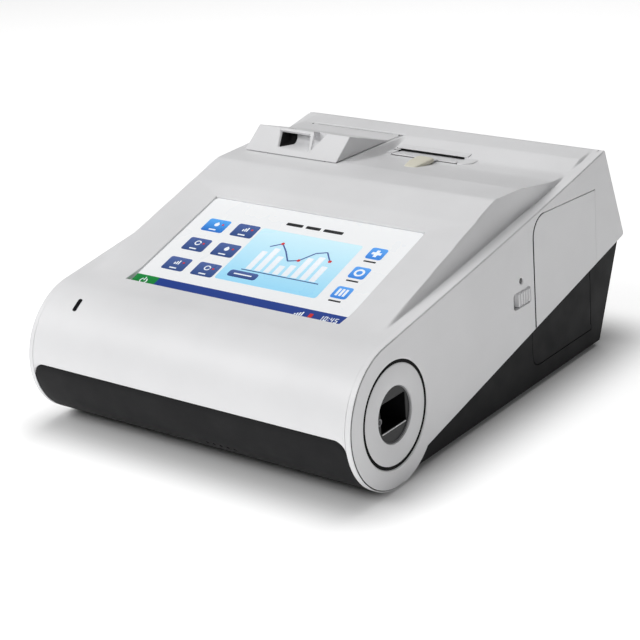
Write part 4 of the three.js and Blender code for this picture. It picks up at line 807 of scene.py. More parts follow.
LAMP_HOLE = 1.5
LATCH_GAP = 0.2
LATCH_WINDOW = (DOOR_FRONT - 25.7, LATCH_LOW.z - LATCH_GAP, DOOR_FRONT - 5.0, LATCH_HIGH.z + LATCH_GAP)
WINDOW_CORNER = 2.4
CAP = (DOOR_FRONT - 20.4, LATCH_LOW.z + LATCH_GAP, DOOR_FRONT - 5.4, LATCH_HIGH.z - 0.6)
CAP_CORNER, CAP_SOFT, CAP_SINK = 1.6, 0.6, 1.5
CARRIER_DEEP, CARRIER_FACE = 2.6, 0.3
RIBS = 5
RIB_SHARE = 0.56
RIB_START, RIB_INSET, RIB_CORNER, RIB_ROOT, RIB_RISE = 0.25, 0.4, 0.7, 1.8, 0.3
RIM_FRONT, RIM_BAND = 0.55, 0.5
RIM_EASE = 35.0
RIM_START = radians(-84)
RIM_OUT_MOST = 1.0
RIM_OUT_SHARE, RIM_IN_SHARE = 0.7, 0.25
GAP_FRONT, GAP_BAND = 1.0, 0.16
BAND_STEPS = 40
# Depths of the black sheets that paint the shade in the rim's gap and in the disc's groove
SEAM_LOW, SEAM_HIGH, SEAM_OVER = HALF - 2.4, HALF - 0.4, 0.05
ROUND_STEPS = 128
DISC_CENTRE = (RING_Y + 1.0, RING_Z)
PLATE_HOLE = DISC_R - 0.5
DISC_EDGE = DISC_R - 1.9
DISC_FACE = HALF - 0.45
DISC_TURN = 1.3
GROOVE_IN = DISC_R - 2.4
GROOVE_DEEP = HALF - 0.65


def door_corner(shift, gap):
    return arc((DOOR_FRONT + DOOR_CORNER - shift, DOOR_TOP - DOOR_CORNER), DOOR_CORNER + gap, pi, pi / 2, 14)


def rim_curve():
    """The part of the side outline that the rim follows: under the ring, round the front, up the band."""
    ring = arc((RING_Y, RING_Z), RING_R, RIM_START, BAND_ANGLE - 2 * pi, 100)
    return ring + [band_point(i / BAND_STEPS) for i in range(1, BAND_STEPS)]


def rim_sizes(y, z):
    """Width of the rim and of the gap inside it at a point of the side outline."""
    forward = max(-cos(atan2(z - RING_Z, y - RING_Y)), 0.0)
    if y > BAND_START[0]:
        forward = max(-cos(BAND_ANGLE), 0.0) * max(1 - (y - BAND_START[0]) / RIM_EASE, 0.0)
    return RIM_BAND + (RIM_FRONT - RIM_BAND) * forward, GAP_BAND + (GAP_FRONT - GAP_BAND) * forward


def rim_rows():
    """Each point of the rim's curve with its inward way and the sizes there."""
    points = np.array(rim_curve())
    way = np.gradient(points, axis=0)
    way /= np.linalg.norm(way, axis=1)[:, None]
    inward = np.stack([way[:, 1], -way[:, 0]], axis=1)
    return [(p, n, *rim_sizes(*p)) for p, n in zip(points, inward)]


def rim_section(width):
    """Cross-section of the rim as (inward, across) points."""
    round_out = min(RIM_OUT_MOST, RIM_OUT_SHARE * width)
    round_in = RIM_IN_SHARE * width
    turn = [
        (round_out * (1 - cos(a)), HALF - round_out + round_out * sin(a)) for a in np.linspace(0, pi / 2, 6)
    ]
    inner = [(width - round_in, HALF), (width, HALF - round_in), (width, PLATE_IN)]
    return [(0, SHELL_HALF + 0.02)] + turn + inner


# Section of a black sheet just under the face, behind the gap inside the rim: painted shade in the gap.
def seam_shade_section(width, gap):
    near, far = width + gap / 2, width + gap + SEAM_OVER
    return [(near, SEAM_LOW), (near, SEAM_HIGH), (far, SEAM_HIGH), (far, SEAM_LOW)]


def sweep_rim(name, section, side):
    rings = []
    for point, inward, width, gap in rim_rows():
        rings.append(leaned([(*(point + inward * d), h) for d, h in section(width, gap)], side))
    return mesh_object(name, *tube(rings))


def face_outline(notch=()):
    """The side face set inside the rim; the notch is the door's place in its lower edge."""
    foot = arc((RING_Y, RING_Z), RING_R, FOOT_ANGLE, RIM_START, 14)[:-1]
    inner = [tuple(point + inward * (width + gap)) for point, inward, width, gap in rim_rows()]
    corners = [band_point(1 - 1 / BAND_STEPS), REAR_TOP, KNEE, foot[0]]
    rear = rounded(corners, [0, REAR_ROUND, KNEE_ROUND, 0], 6)
    return foot + inner + rear[1:-1] + list(notch)


def door_notch():
    rear = DOOR_REAR + NOTCH_REAR
    front = DOOR_FRONT - NOTCH_FRONT
    return [
        (rear, lower_edge(rear)), (rear, DOOR_TOP - DOOR_FALL + NOTCH_GAP),
        *reversed(door_corner(NOTCH_SHIFT, NOTCH_GAP)), (front, lower_edge(front)),
    ]


def hinge_bend(edge, radius, inner_only=False):
    """Curves a plate's edge at the door's hinge round its axis; inner_only leaves the outer half flat."""
    def bend(y, z, h):
        above = z > DOOR_TOP - DOOR_FALL + NOTCH_GAP
        below = z < lower_edge(edge) - NOTCH_FRONT
        if abs(y - edge) > BEND_REACH or above or below:
            return y
        out = h - HALF + PLATE / 2
        reach = radius ** 2 - (min(out, 0.0) if inner_only else out) ** 2
        return DOOR_AXIS_Y + sqrt(max(reach, 0.0))
    return bend


def build_side_panels():
    hole = circle(DISC_CENTRE, PLATE_HOLE, ROUND_STEPS)
    groove = [
        (GROOVE_IN, SEAM_LOW), (GROOVE_IN, GROOVE_DEEP), (PLATE_HOLE, GROOVE_DEEP), (PLATE_HOLE, SEAM_LOW),
    ]
    for side, label in ((-1, "left"), (1, "right")):
        rim = sweep_rim(f"corner_rim_{label}", lambda width, gap: rim_section(width), side)
        piece(rim, WHITE, "chassis", "shell_white", f"side_panel_{label}")
        # A black sheet behind the rim's gap paints the shade in it.
        seam = sweep_rim(f"corner_seam_shade_{label}", seam_shade_section, side)
        piece(seam, PAINTED_SHADE_BLACK, "chassis", "tray_black")
        # A black ring at the floor of the groove round the disc paints the shade in the groove.
        trim = lathe(f"disc_groove_shade_{label}", groove, ROUND_STEPS, side)
        piece(trim, PAINTED_SHADE_BLACK, "chassis", "tray_black")
    loops = [face_outline(), hole]
    left = side_plate("side_panel_left_skin", loops, [PLATE_SOFT, HOLE_SOFT], PLATE_IN, HALF, -1)
    piece(left, WHITE, "chassis", "shell_white", "side_panel_left")
    window = rounded(rectangle(*LATCH_WINDOW), WINDOW_CORNER, 6)
    loops = [face_outline(door_notch()), hole, window, circle(LATCH_LAMP, LAMP_HOLE, 24)]
    radii = [PLATE_SOFT, HOLE_SOFT, PLATE_SOFT, LAMP_SOFT]
    bend = hinge_bend(DOOR_REAR + NOTCH_REAR, HINGE_R + HINGE_CLEAR)
    right = side_plate("side_panel_right_skin", loops, radii, PLATE_IN, HALF, 1, HINGE_LEVELS, bend)
    piece(right, WHITE, "chassis", "shell_white", "side_panel_right")


build_side_panels()


# Fluid pack door and its latch
def build_door():
    front = DOOR_FRONT + DOOR_INSET
    foot = lower_edge(front)
    corner = door_corner(-DOOR_INSET, 0)
    outline = [
        (front, foot), *corner, (DOOR_REAR, DOOR_TOP - DOOR_FALL), (DOOR_REAR, lower_edge(DOOR_REAR)),
    ]
    bend = hinge_bend(DOOR_REAR, PLATE / 2, True)
    skin = side_plate("door_skin_face", [outline], [PLATE_SOFT], PLATE_IN, HALF, 1, HINGE_LEVELS, bend)
    piece(skin, WHITE, "pack_door", "shell_white", "door_skin")
    # A black strip along the door's front edge, sunk under the face: painted shade in the gap before the
    # door.
    outside = reversed(offset_loop(corner, EDGE_SHADE_WIDTH))
    edge = [(front, foot + EDGE_SHADE_WIDTH), *corner, *outside, (front - EDGE_SHADE_WIDTH, foot + EDGE_SHADE_WIDTH)]
    strip = side_plate("door_edge_shade", [edge], [0.0], PLATE_IN, HALF - EDGE_SHADE_SINK, 1)
    piece(strip, PAINTED_SHADE_BLACK, "pack_door", "tray_black")


def build_latch():
    """A cap with ribs on a carrier behind the side panel; the carrier's grey is painted shade of its recess.
    """
    plate = rectangle(LATCH_LOW.y, LATCH_LOW.z, LATCH_HIGH.y, LATCH_HIGH.z)
    low, high = PLATE_IN - CARRIER_DEEP, PLATE_IN + CARRIER_FACE
    carrier = side_plate("latch_carrier", [plate], [LATCH_GAP], low, high, 1)
    piece(carrier, RECESS_SHADE_GREY, "latch_slider", "shell_white", "latch_slider")
    shape = rounded(rectangle(*CAP), CAP_CORNER, 5)
    parts = [plate_mesh([shape], [CAP_SOFT], PLATE_IN + LATCH_GAP, HALF - CAP_SINK)]
    pitch = (CAP[2] - CAP[0]) / RIBS
    for i in range(RIBS):
        start = CAP[0] + RIB_START + i * pitch
        rib = rectangle(start, CAP[1] + RIB_INSET, start + RIB_SHARE * pitch, CAP[3] - RIB_INSET)
        rib = rounded(rib, RIB_CORNER, 4)
        parts.append(plate_mesh([rib], [CAP_SOFT], HALF - RIB_ROOT, HALF + RIB_RISE))
    points, faces = gathered(parts)
    cap = mesh_object("latch_slider_cap", leaned(points), faces)
    piece(cap, WHITE, "latch_slider", "shell_white", "latch_slider")


build_door()
build_latch()


# Trim discs and the scan window
WINDOW_R = 16.4
WELL_FACE = HALF - 1.9
WELL_DEEP = 23.0
MOUTH = (DISC_CENTRE[0] - 12.2, 35.9, DISC_CENTRE[0] + 12.0, 52.6)
MOUTH_CORNER = 0.8
HIGHLIGHT_ENDS, HIGHLIGHT_LOW, HIGHLIGHT_HIGH = 0.6, 0.75, 0.1
SPOT = (DISC_CENTRE[0] - 13.6, RING_Z + 0.2)
DISC_DOME = 0.4
LIP_TURN = 0.5
LEFT_HOLE = 0.01
SWELL_SHARES = np.linspace(0.08, 0.92, 9)
WELL_SOFT, MOUTH_SOFT, HIGHLIGHT_SOFT = 0.3, 0.4, 0.2
SEAL = (
    (WINDOW_R - 0.7, -0.2), (WINDOW_R - 0.05, -0.2), (WINDOW_R - 0.05, 0.5), (WINDOW_R - 0.4, 0.3),
)
COLLAR = ((1.3, -0.3), (2.1, -0.3), (2.1, 0.25), (1.7, 0.45), (1.3, 0.25))
BEAD = ((0.02, -0.3), (1.35, -0.3), (1.35, 0.05), (0.8, 0.3), (0.02, 0.38))


def disc_profile(hole):
    back = PLATE_IN + FIT
    quarter = np.linspace(0, pi / 2, 7)
    edge, level = DISC_EDGE - DISC_TURN, DISC_FACE - DISC_TURN
    rim = [(DISC_EDGE - DISC_TURN * (1 - cos(a)), level + DISC_TURN * sin(a)) for a in quarter]
    end = hole + LIP_TURN
    swell = [(edge + (end - edge) * t, DISC_FACE + DISC_DOME * sin(pi * t)) for t in SWELL_SHARES]
    lip = [(hole + LIP_TURN * (1 - sin(a)), DISC_FACE - LIP_TURN + LIP_TURN * cos(a)) for a in quarter]
    return [(hole, back), (DISC_EDGE, back)] + rim + swell + lip


def build_discs():
    for name, hole, side, node in (
        ("trim_disc_right_ring", WINDOW_R, 1, "trim_disc_right"),
        ("trim_disc_left_cap", LEFT_HOLE, -1, "trim_disc_left"),
    ):
        disc = lathe(name, disc_profile(hole), ROUND_STEPS, side)
        piece(disc, DISC_WHITE, "chassis", "disc_grey", node)


def window_ring(name, profile, steps, centre=None):
    """A turned piece of the window: its profile holds (radius, height over the well's face)."""
    return lathe(name, [(radius, WELL_FACE + up) for radius, up in profile], steps, 1, centre)


def build_scan_window():
    loops = [circle(DISC_CENTRE, WINDOW_R - 0.15, 96), rounded(rectangle(*MOUTH), MOUTH_CORNER, 4)]
    well = side_plate("scanner_well", loops, [WELL_SOFT, MOUTH_SOFT], HALF - WELL_DEEP, WELL_FACE, 1)
    piece(well, PIT_BLACK, "chassis", "tunnel_black", "scanner_tunnel")
    piece(window_ring("scanner_window_seal", SEAL, 96), SEAL_GREY, "chassis", "disc_grey")
    left, low, right, _ = MOUTH
    # A light strip just under the mouth, over the black well: a painted highlight on the mouth's lower edge.
    highlight_strip = rectangle(left + HIGHLIGHT_ENDS, low - HIGHLIGHT_LOW, right - HIGHLIGHT_ENDS, low - HIGHLIGHT_HIGH)
    highlight_strip = rounded(highlight_strip, 0.25, 3)
    lip = side_plate("scanner_mouth_highlight", [highlight_strip], [HIGHLIGHT_SOFT], WELL_FACE - 0.2, WELL_FACE + 0.25, 1)
    piece(lip, DISC_WHITE, "chassis", "disc_grey")
    piece(window_ring("scanner_lamp_collar", COLLAR, 32, SPOT), SEAL_GREY, "chassis", "disc_grey")
    bead = window_ring("scanner_lamp_bead", BEAD, 32, SPOT)
    piece(bead, GLASS_BLACK, "chassis", "dark_lens", "scanner_lamp")


build_discs()
build_scan_window()


# Front panel
SPEAKER_X = 19.0
SPEAKER_REACH = 10.0
SPEAKER_PER_ROW = 5
SPEAKER_ANGLES = (radians(222.5), radians(233.5))
HOLE_R = 1.0
HOLE_STEPS = 16
HOLE_REACH = (RING_R - 4, RING_R + 2)
PANEL_ROWS = 34
PANEL_X, PANEL_STEP = 104, 4
PANEL_STRIP, PANEL_COLUMNS = 0.6, 11
PANEL_EDGE = ((0.3, 0.08), (0.1, 0.25), (0.0, 0.6))
PANEL_LIP, PANEL_GAP, PANEL_WALL = 0.55, 0.35, 2.0


def speaker_cutters():
    holes = []
    for angle in SPEAKER_ANGLES:
        out = Vector((0, cos(angle), sin(angle)))
        up = Vector((0, -sin(angle), cos(angle)))
        for i in range(SPEAKER_PER_ROW):
            x = SPEAKER_X - SPEAKER_REACH + 2 * SPEAKER_REACH * i / (SPEAKER_PER_ROW - 1)
            rings = []
            for reach in HOLE_REACH:
                centre = Vector((x, RING_Y, RING_Z)) + out * reach
                rings.append([
                    tuple(centre + Vector((a, 0, 0)) + up * b) for a, b in circle((0, 0), HOLE_R, HOLE_STEPS)
                ])
            holes.append(tube(rings))
    return mesh_object("speaker_cutters", *gathered(holes))


def build_front_panel():
    rows = []
    inner = list(np.arange(-PANEL_X, PANEL_X + 0.1, PANEL_STEP))
    for k in range(PANEL_ROWS + 1):
        share = k / PANEL_ROWS
        edge = ring_edge(share, PANEL_END)
        strip = list(np.linspace(PANEL_X, edge - PANEL_STRIP, PANEL_COLUMNS + 1)[1:])
        outer = strip + [edge - back for back, _ in PANEL_EDGE]
        drops = [0] * PANEL_COLUMNS + [drop for _, drop in PANEL_EDGE]
        x = np.array([-v for v in reversed(outer)] + inner + outer)
        drop = np.array(drops[::-1] + [0] * len(inner) + drops)
        lip = 0.0 if k else PANEL_LIP
        rows.append(ring_row(x, drop, edge, share, PANEL_END, lip, PANEL_GAP / RING_R))
    grid, normals = (np.array([row[i] for row in rows]) for i in (0, 1))
    keep = np.ones((grid.shape[0] - 1, grid.shape[1] - 1), bool)
    obj = grid_solid("front_panel_skin", grid, -PANEL_WALL * normals, keep)
    combine(obj, speaker_cutters())
    piece(obj, BLACK, "chassis", "tray_black", "front_panel")


build_front_panel()


# Status light on the front curve
LIGHT_LOW, LIGHT_HIGH = node_box("status_light")
LIGHT_HALF_WIDTH, LIGHT_HALF_LENGTH = 1.5, 4.5
LIGHT_CORNER, LIGHT_SOFT = 1.2, 0.15
LIGHT_LEVELS = (-0.5, 0.28)


def build_status_light():
    x = (LIGHT_LOW.x + LIGHT_HIGH.x) / 2
    y, z = (LIGHT_LOW.y + LIGHT_HIGH.y) / 2, (LIGHT_LOW.z + LIGHT_HIGH.z) / 2
    middle = atan2(z - RING_Z, y - RING_Y)
    shape = rectangle(-LIGHT_HALF_WIDTH, -LIGHT_HALF_LENGTH, LIGHT_HALF_WIDTH, LIGHT_HALF_LENGTH)
    points, faces = plate_mesh([rounded(shape, LIGHT_CORNER, 5)], [LIGHT_SOFT], *LIGHT_LEVELS)
    placed = [(x + a, *ring_point(middle + b / RING_R, RING_R + h)) for a, b, h in points]
    lens = mesh_object("status_light_lens", placed, faces)
    piece(lens, GLASS_BLACK, "chassis", "dark_lens", "status_light")


build_status_light()


# Touch screen: the glass and a generic lit layout on it
GLASS_CORNER, GLASS_SOFT, GLASS_DEEP = 2.4, 0.15, 2.0
FIRST, SECOND, THIRD, FOURTH = 0.06, 0.12, 0.18, 0.23
BAR_EDGE, BAR_TOP, BAR_CORNER, KEY_END = 0.2, 10.2, 2.2, -60.0
BUTTON_WIDTH, BUTTON_HEIGHT, BUTTON_CORNER = 16.6, 12.6, 1.6
BUTTONS = [(x, y) for y in (60.0, 39.5, 19.0) for x in (-67.0, -44.3)]
ICONS = ((60.0, 67.5), (60.2, 48.3), (60.5, 29.0))
ICON_SIZE, ICON_SHIFT, ICON_CORNER = (11.2, 10.8), (5.6, 5.4), 1.8
PICTURE = (-26.0, 19.8, 74.0, 52.4, 2.0)
PILL = (-20.0, 24.0, 21.0, 6.2, 2.0)
PILL_LINE = (-16.0, 26.6, 13.0, 1.0)
KEY_RING, KEY_STROKE = (-69.0, 4.8, 2.7, 2.0), (-69.35, 5.2, 0.7, 3.2)
CLOCK, CLOCK_X, CLOCK_PITCH, CLOCK_GAP = "1045", 61.0, 3.0, 1.2
DIGIT = (3.3, 2.0, 3.8, 0.5)
COLON_X, COLON_Y, COLON_SIZE = 66.8, (4.1, 5.7), (0.5, 0.6)
SIGNAL_X, SIGNAL_FOOT, SIGNAL_PITCH, SIGNAL_WIDTH = 44.0, 3.4, 1.5, 0.9
BATTERY = (53.4, 3.4, 2.6, 3.4, 0.4)
TITLES, TITLE_FOOT, TITLE_HEIGHT = ((-13.5, -1.5), (1.0, 11.5), (14.0, 28.0)), 78.6, 2.7
CHART_LEFT, CHART_FOOT, CHART_PITCH, CHART_COUNT = -12, 33.0, 6.6, 8
COLUMN_WIDTH, TRACE_RISE, TRACE_HALF = 4.2, 5.0, 0.45
CHART_AXIS = (-14.0, 31.6, 56.0, 0.7)
BAR_SHARE = 0.62


def screen_part(name, shapes, low, high, material, edge=0.0, *nodes):
    """Thin tiles on the screen: each shape holds (across, up the slope) points."""
    points, faces = gathered([plate_mesh([shape], [edge], low, high) for shape in shapes])
    points = [(a, *on_screen(b, h)) for a, b, h in points]
    piece(mesh_object(name, points, faces), material, "chassis", "screen_glass", *nodes)


def tile(x, y, width, height, radius=0.0):
    corners = rectangle(x, y, x + width, y + height)
    return rounded(corners, radius, 4) if radius > 0 else corners


def drop_shape(x, y, size):
    """A falling drop."""
    return [(x, y + 1.5 * size)] + arc((x, y), size, radians(30), radians(-210), 14)


def plus_shape(x, y, size):
    s, t = size, size / 3
    return [
        (x - t, y - s), (x + t, y - s), (x + t, y - t), (x + s, y - t), (x + s, y + t), (x + t, y + t),
        (x + t, y + s), (x - t, y + s), (x - t, y + t), (x - s, y + t), (x - s, y - t), (x - t, y - t),
    ]


def bars_shape(x, y, size, count=3):
    """Bars that rise from left to right."""
    pitch = 2 * size / count
    left, foot, width = x - size, y - size, BAR_SHARE * pitch
    return [tile(left + i * pitch, foot, width, size * (0.9 + 0.45 * i)) for i in range(count)]


def ring_shape(x, y, outer, inner, start, end):
    """Part of a ring between two angles."""
    return arc((x, y), outer, start, end, 20) + arc((x, y), inner, end, start, 20)


SEGMENTS = {
    "0": "abcdef", "1": "bc", "2": "abged", "3": "abgcd", "4": "fgbc", "5": "afgcd", "6": "afgedc",
    "7": "abc", "8": "abcdefg", "9": "abcdfg",
}


def digit(value, x, y, width, height, line):
    """A seven-segment digit."""
    half = height / 2
    places = {
        "a": tile(x, y + height - line, width, line), "g": tile(x, y + half - line / 2, width, line),
        "d": tile(x, y, width, line), "f": tile(x, y + half, line, half), "e": tile(x, y, line, half),
        "b": tile(x + width - line, y + half, line, half), "c": tile(x + width - line, y, line, half),
    }
    return [places[key] for key in SEGMENTS[value]]


def build_screen_tiles():
    """The glass and the flat areas on it: a bar with a key, buttons, a picture with a pill, icons."""
    glass = rounded(rectangle(-SCREEN_HALF, 0, SCREEN_HALF, SCREEN_LENGTH), GLASS_CORNER, 5)
    screen_part("touch_glass", [glass], -GLASS_DEEP, 0.0, DISPLAY_WHITE, GLASS_SOFT, "touch_panel")
    edge = SCREEN_HALF - BAR_EDGE
    bar = rounded(rectangle(-edge, BAR_EDGE, edge, BAR_TOP), [BAR_CORNER, BAR_CORNER, 0, 0], 4)
    screen_part("screen_bar", [bar], 0, FIRST, DISPLAY_NAVY)
    key = rounded(rectangle(-edge, BAR_EDGE, KEY_END, BAR_TOP), [BAR_CORNER, 0, 0, 0], 4)
    screen_part("screen_key", [key], FIRST, SECOND, DISPLAY_GREEN)
    for number, place in enumerate(BUTTONS, 1):
        button = tile(*place, BUTTON_WIDTH, BUTTON_HEIGHT, BUTTON_CORNER)
        look = DISPLAY_BRIGHT if number == 1 else DISPLAY_DARK
        screen_part(f"screen_button_{number}", [button], 0, FIRST, look)
    screen_part("screen_picture", [tile(*PICTURE)], 0, FIRST, DISPLAY_SKY)
    screen_part("screen_pill", [tile(*PILL)], FIRST, SECOND, DISPLAY_DARK)
    for number, (x, y) in enumerate(ICONS, 1):
        icon = tile(x - ICON_SHIFT[0], y - ICON_SHIFT[1], *ICON_SIZE, ICON_CORNER)
        screen_part(f"screen_icon_{number}", [icon], 0, FIRST, DISPLAY_ICON)


def button_marks():
    """A drop, bars or a ring on each button, with a short line under it."""
    marks = []
    for i, (x, y) in enumerate(BUTTONS):
        cx, cy = button_middle(x, y)
        if i % 3 == 0:
            marks.append(drop_shape(cx, cy - 0.6, 1.7))
        elif i % 3 == 1:
            marks += bars_shape(cx, cy, 2.2)
        else:
            marks.append(ring_shape(cx, cy, 2.3, 1.5, 0, 1.9 * pi))
        marks.append(tile(cx - 2.6, y + 1.6, 5.2, 1.0))
    return marks


def button_middle(x, y):
    return x + BUTTON_WIDTH / 2, y + BUTTON_HEIGHT / 2 + 1.6


def icon_marks():
    (plus, ring, bars) = ICONS
    marks = [plus_shape(*plus, 3.2), ring_shape(*ring, 3.4, 2.0, 0, 2 * pi - 0.01)]
    return marks + [tile(bars[0] - 3.3 + i * 2.5, bars[1] - 3.2, 1.6, 6.4) for i in range(3)]


def bar_marks():
    """The key's sign and the pill's line, then a clock and a signal's bars at the right."""
    marks = [ring_shape(*KEY_RING, radians(120), radians(420)), tile(*KEY_STROKE), tile(*PILL_LINE)]
    for i, value in enumerate(CLOCK):
        marks += digit(value, CLOCK_X + i * CLOCK_PITCH + (CLOCK_GAP if i > 1 else 0), *DIGIT)
    marks += [tile(COLON_X, y, *COLON_SIZE) for y in COLON_Y]
    for i in range(4):
        marks.append(tile(SIGNAL_X + SIGNAL_PITCH * i, SIGNAL_FOOT, SIGNAL_WIDTH, 1.2 + 0.8 * i))
    return marks


def chart_rise(i):
    return 8 + 15 * (0.5 + 0.5 * sin(1.3 * i + 0.4))


def build_screen_marks():
    """A chart of columns with a line over it, and the small marks of each colour."""
    chart = [(CHART_LEFT + CHART_PITCH * i, chart_rise(i)) for i in range(CHART_COUNT)]
    columns = [tile(x, CHART_FOOT, COLUMN_WIDTH, rise, 0.5) for x, rise in chart]
    screen_part("screen_columns", columns, FIRST, SECOND, DISPLAY_MARK)
    trace = [(x + COLUMN_WIDTH / 2, CHART_FOOT + rise + TRACE_RISE) for x, rise in chart]
    lines = []
    for p, q in zip(map(Vector, trace), map(Vector, trace[1:])):
        run = q - p
        off = Vector((-run.y, run.x)).normalized() * TRACE_HALF
        lines.append([tuple(p - off), tuple(q - off), tuple(q + off), tuple(p + off)])
    lines.append(tile(*CHART_AXIS))
    screen_part("screen_trace", lines, SECOND, THIRD, DISPLAY_DARK)
    screen_part("screen_marks", button_marks() + icon_marks() + bar_marks(), SECOND, THIRD, DISPLAY_MARK)
    middles = [button_middle(x, y) for x, y in BUTTONS]
    dots = [circle((x + 4.4, y), 0.8, 12) for x, y in middles] + [tile(*BATTERY)]
    dots += [circle(point, 1.2, 14) for point in trace[1::3]]
    screen_part("screen_dots", dots, THIRD, FOURTH, DISPLAY_RED)
    inks = [tile(x0, TITLE_FOOT, x1 - x0, TITLE_HEIGHT, 0.5) for x0, x1 in TITLES]
    inks += [tile(x - 4.2, y - 8.6, 8.4, 1.3, 0.3) for x, y in ICONS]
    screen_part("screen_lines", inks, 0, FIRST, DISPLAY_INK)


build_screen_tiles()
build_screen_marks()


# Kept CAD pieces: their finish and the width of their soft edges
KEPT_PIECES = (
    ("scanner_glass", GLASS_BLACK, 0.15), ("scanner_module", WRAP, 0.6), ("speaker", METAL, 0.5),
    ("display_module", METAL, 0.5), ("paper_bay", WHITE, 0.3), ("print_head", METAL, 0.4),
    ("paper_roll", PAPER, 0.15), ("platen_roller", RUBBER, 0.3), ("cover_hinge_pin_left", METAL, 0.15),
    ("cover_hinge_pin_right", METAL, 0.15), ("cartridge_guide", BLACK, 0.2), ("contact_block", METAL, 0.3),
    ("door_hinge_pin", METAL, 0.15), ("latch_lamp", GLASS_BLACK, 0.15), ("fluid_pack", PACK, 1.0),
    ("pack_bay", DISC_WHITE, 0.3), ("pump_motor", METAL, 0.6), ("pump_housing", DISC_WHITE, 0.6),
    ("pump_rotor", BLACK, 0.3), ("main_board", BOARD, 0.15), ("power_supply", METAL, 0.6),
    ("battery_pack", WRAP, 1.5), ("battery_lid", BLACK, 0.4), ("usb_port_1", METAL, 0.2),
    ("usb_port_2", METAL, 0.2), ("network_port", METAL, 0.3), ("power_inlet", BLACK, 0.4),
    ("ground_stud", METAL, 0.2),
)

dress("base_tray", BLACK, 0.8, 3)
for corner_number in range(1, 5):
    dress(f"foot_{corner_number}", RUBBER, 0.5)
    dress(f"case_screw_{corner_number}", METAL, 0.2)
for kept_name, kept_finish, edge_width in KEPT_PIECES:
    dress(kept_name, kept_finish, edge_width)


# Printer cover: a wedge with a flat end at its hinge, a flared finger pocket, and a paper slit in painted
# shade
COVER_LOW, COVER_HIGH = node_box("printer_cover")
COVER_FOOT = (COVER_LOW.y, DECK + FIT)
COVER_RIDGE = (COVER_LOW.y + 17.0, COVER_HIGH.z)
COVER_FALL = (COVER_LOW.y + 59.5, DECK + 0.7)
COVER_WALL, COVER_GAP = 2.0, 0.05
COVER_ROUNDS, COVER_VOXEL, COVER_VOXEL_QUICK = 5, 0.35, 0.6
SLIT_ENDS, SEAM_ENDS, DIMPLE_ENDS = (18.2, 8.5), (5.5, 6.0), (1.5, 0.9)
SEAM_WIDTH, SEAM_RISE, LINE_SINK = 0.4, 0.16, 0.6
DIMPLE_R, DIMPLE_SOFT, DIMPLE_RISE = 0.7, 0.1, 0.2
BARREL_R = 1.9
HINGE = (COVER_HIGH.y - BARREL_R, COVER_FOOT[1] - BARREL_R)
POCKET_X = (COVER_LOW.x + COVER_HIGH.x) / 2
POCKET_TOP = 18.9
POCKET_LOW = 12.6
POCKET_FLOOR = COVER_FOOT[1] + 3.2
POCKET_BACK = COVER_LOW.y + 23.5
POCKET_TURN = 8.0
POCKET_WALL = 2.2
SHADOW_SHEET_LEVELS = (-0.4, 0.5)
AXLE_LOW, AXLE_HIGH = node_box("platen_roller")
AXLE = (COVER_LOW.y + 10.0, DECK - 5.4)
EARS = (AXLE_LOW.x + 1.1, AXLE_HIGH.x - 1.1)
EAR_HALF, EAR_THIN = 4.5, 0.9
SEAM_Y = HINGE[0] - 2.9


def cover_outline():
    """The cover from the side: foot, ridge, fall to the flat end, hinge barrel, underside."""
    y, z = HINGE
    rear, under = COVER_FALL[0] - 2.0, DECK - 0.7
    barrel = arc(HINGE, BARREL_R, radians(88), radians(-100), 10)
    tail = [(y - 3.9, z - 1.5), (y - 5.9, under), (rear, under), (rear, COVER_FOOT[1])]
    return [COVER_FOOT, COVER_RIDGE, COVER_FALL] + barrel + tail


def cover_hollow():
    low, front, rear = COVER_FOOT[1], COVER_FOOT[0] + 3.0, COVER_FALL[0] - 5.5
    ridge = (COVER_RIDGE[0], COVER_RIDGE[1] - 2.6)
    inner = [(front, low - 4), (front, low + 0.2), ridge, (rear, low - 0.4), (rear, low - 4)]
    return mesh_object("cover_hollow", *prism(inner, COVER_LOW.x + COVER_WALL, COVER_HIGH.x - COVER_WALL))


def cover_inside():
    """What stands in the hollow: the pocket's walls and the two ears that carry the roller."""
    front, low = COVER_FOOT
    ridge_y, ridge_z = COVER_RIDGE
    rear, under = POCKET_BACK + 1.8, POCKET_FLOOR - 1.8
    tub = [
        (front + 2.6, under), (front + 4.0, POCKET_FLOOR - 0.8), (ridge_y, ridge_z - 1.2),
        (rear, ridge_z - 3.2), (rear, under),
    ]
    near, far, foot = AXLE[0] - EAR_HALF, AXLE[0] + EAR_HALF, AXLE[1] - 4
    ear = [(near, foot), (far, foot), (far, low + 8.4), (near, low + 2.0)]
    reach = POCKET_TOP + POCKET_WALL
    parts = [prism(tub, POCKET_X - reach, POCKET_X + reach)]
    parts += [prism(ear, x - EAR_THIN, x + EAR_THIN) for x in EARS]
    return mesh_object("cover_inside", *gathered(parts))


def pocket_half(z):
    """Half the pocket's width at a height."""
    share = (z - POCKET_FLOOR) / (COVER_HIGH.z - POCKET_FLOOR)
    return POCKET_LOW + (POCKET_TOP - POCKET_LOW) * share


def pocket_hollow(steps):
    """The curve from the pocket's floor up its back."""
    return arc((POCKET_BACK - POCKET_TURN, POCKET_FLOOR + POCKET_TURN), POCKET_TURN, -pi / 2, 0, steps)


def pocket_tool():
    """The finger pocket: wider at the top, with a hollow curved back and floor."""
    front, top = COVER_LOW.y - 2.0, COVER_HIGH.z + 4.0
    side = [(front, POCKET_FLOOR - 0.4), (COVER_LOW.y + 6.0, POCKET_FLOOR)]
    side += pocket_hollow(8) + [(POCKET_BACK, top), (front, top)]
    points, faces = prism(side, -1, 1)
    points = [(POCKET_X + x * pocket_half(z), y, z) for x, y, z in points]
    return mesh_object("pocket_tool", points, faces)


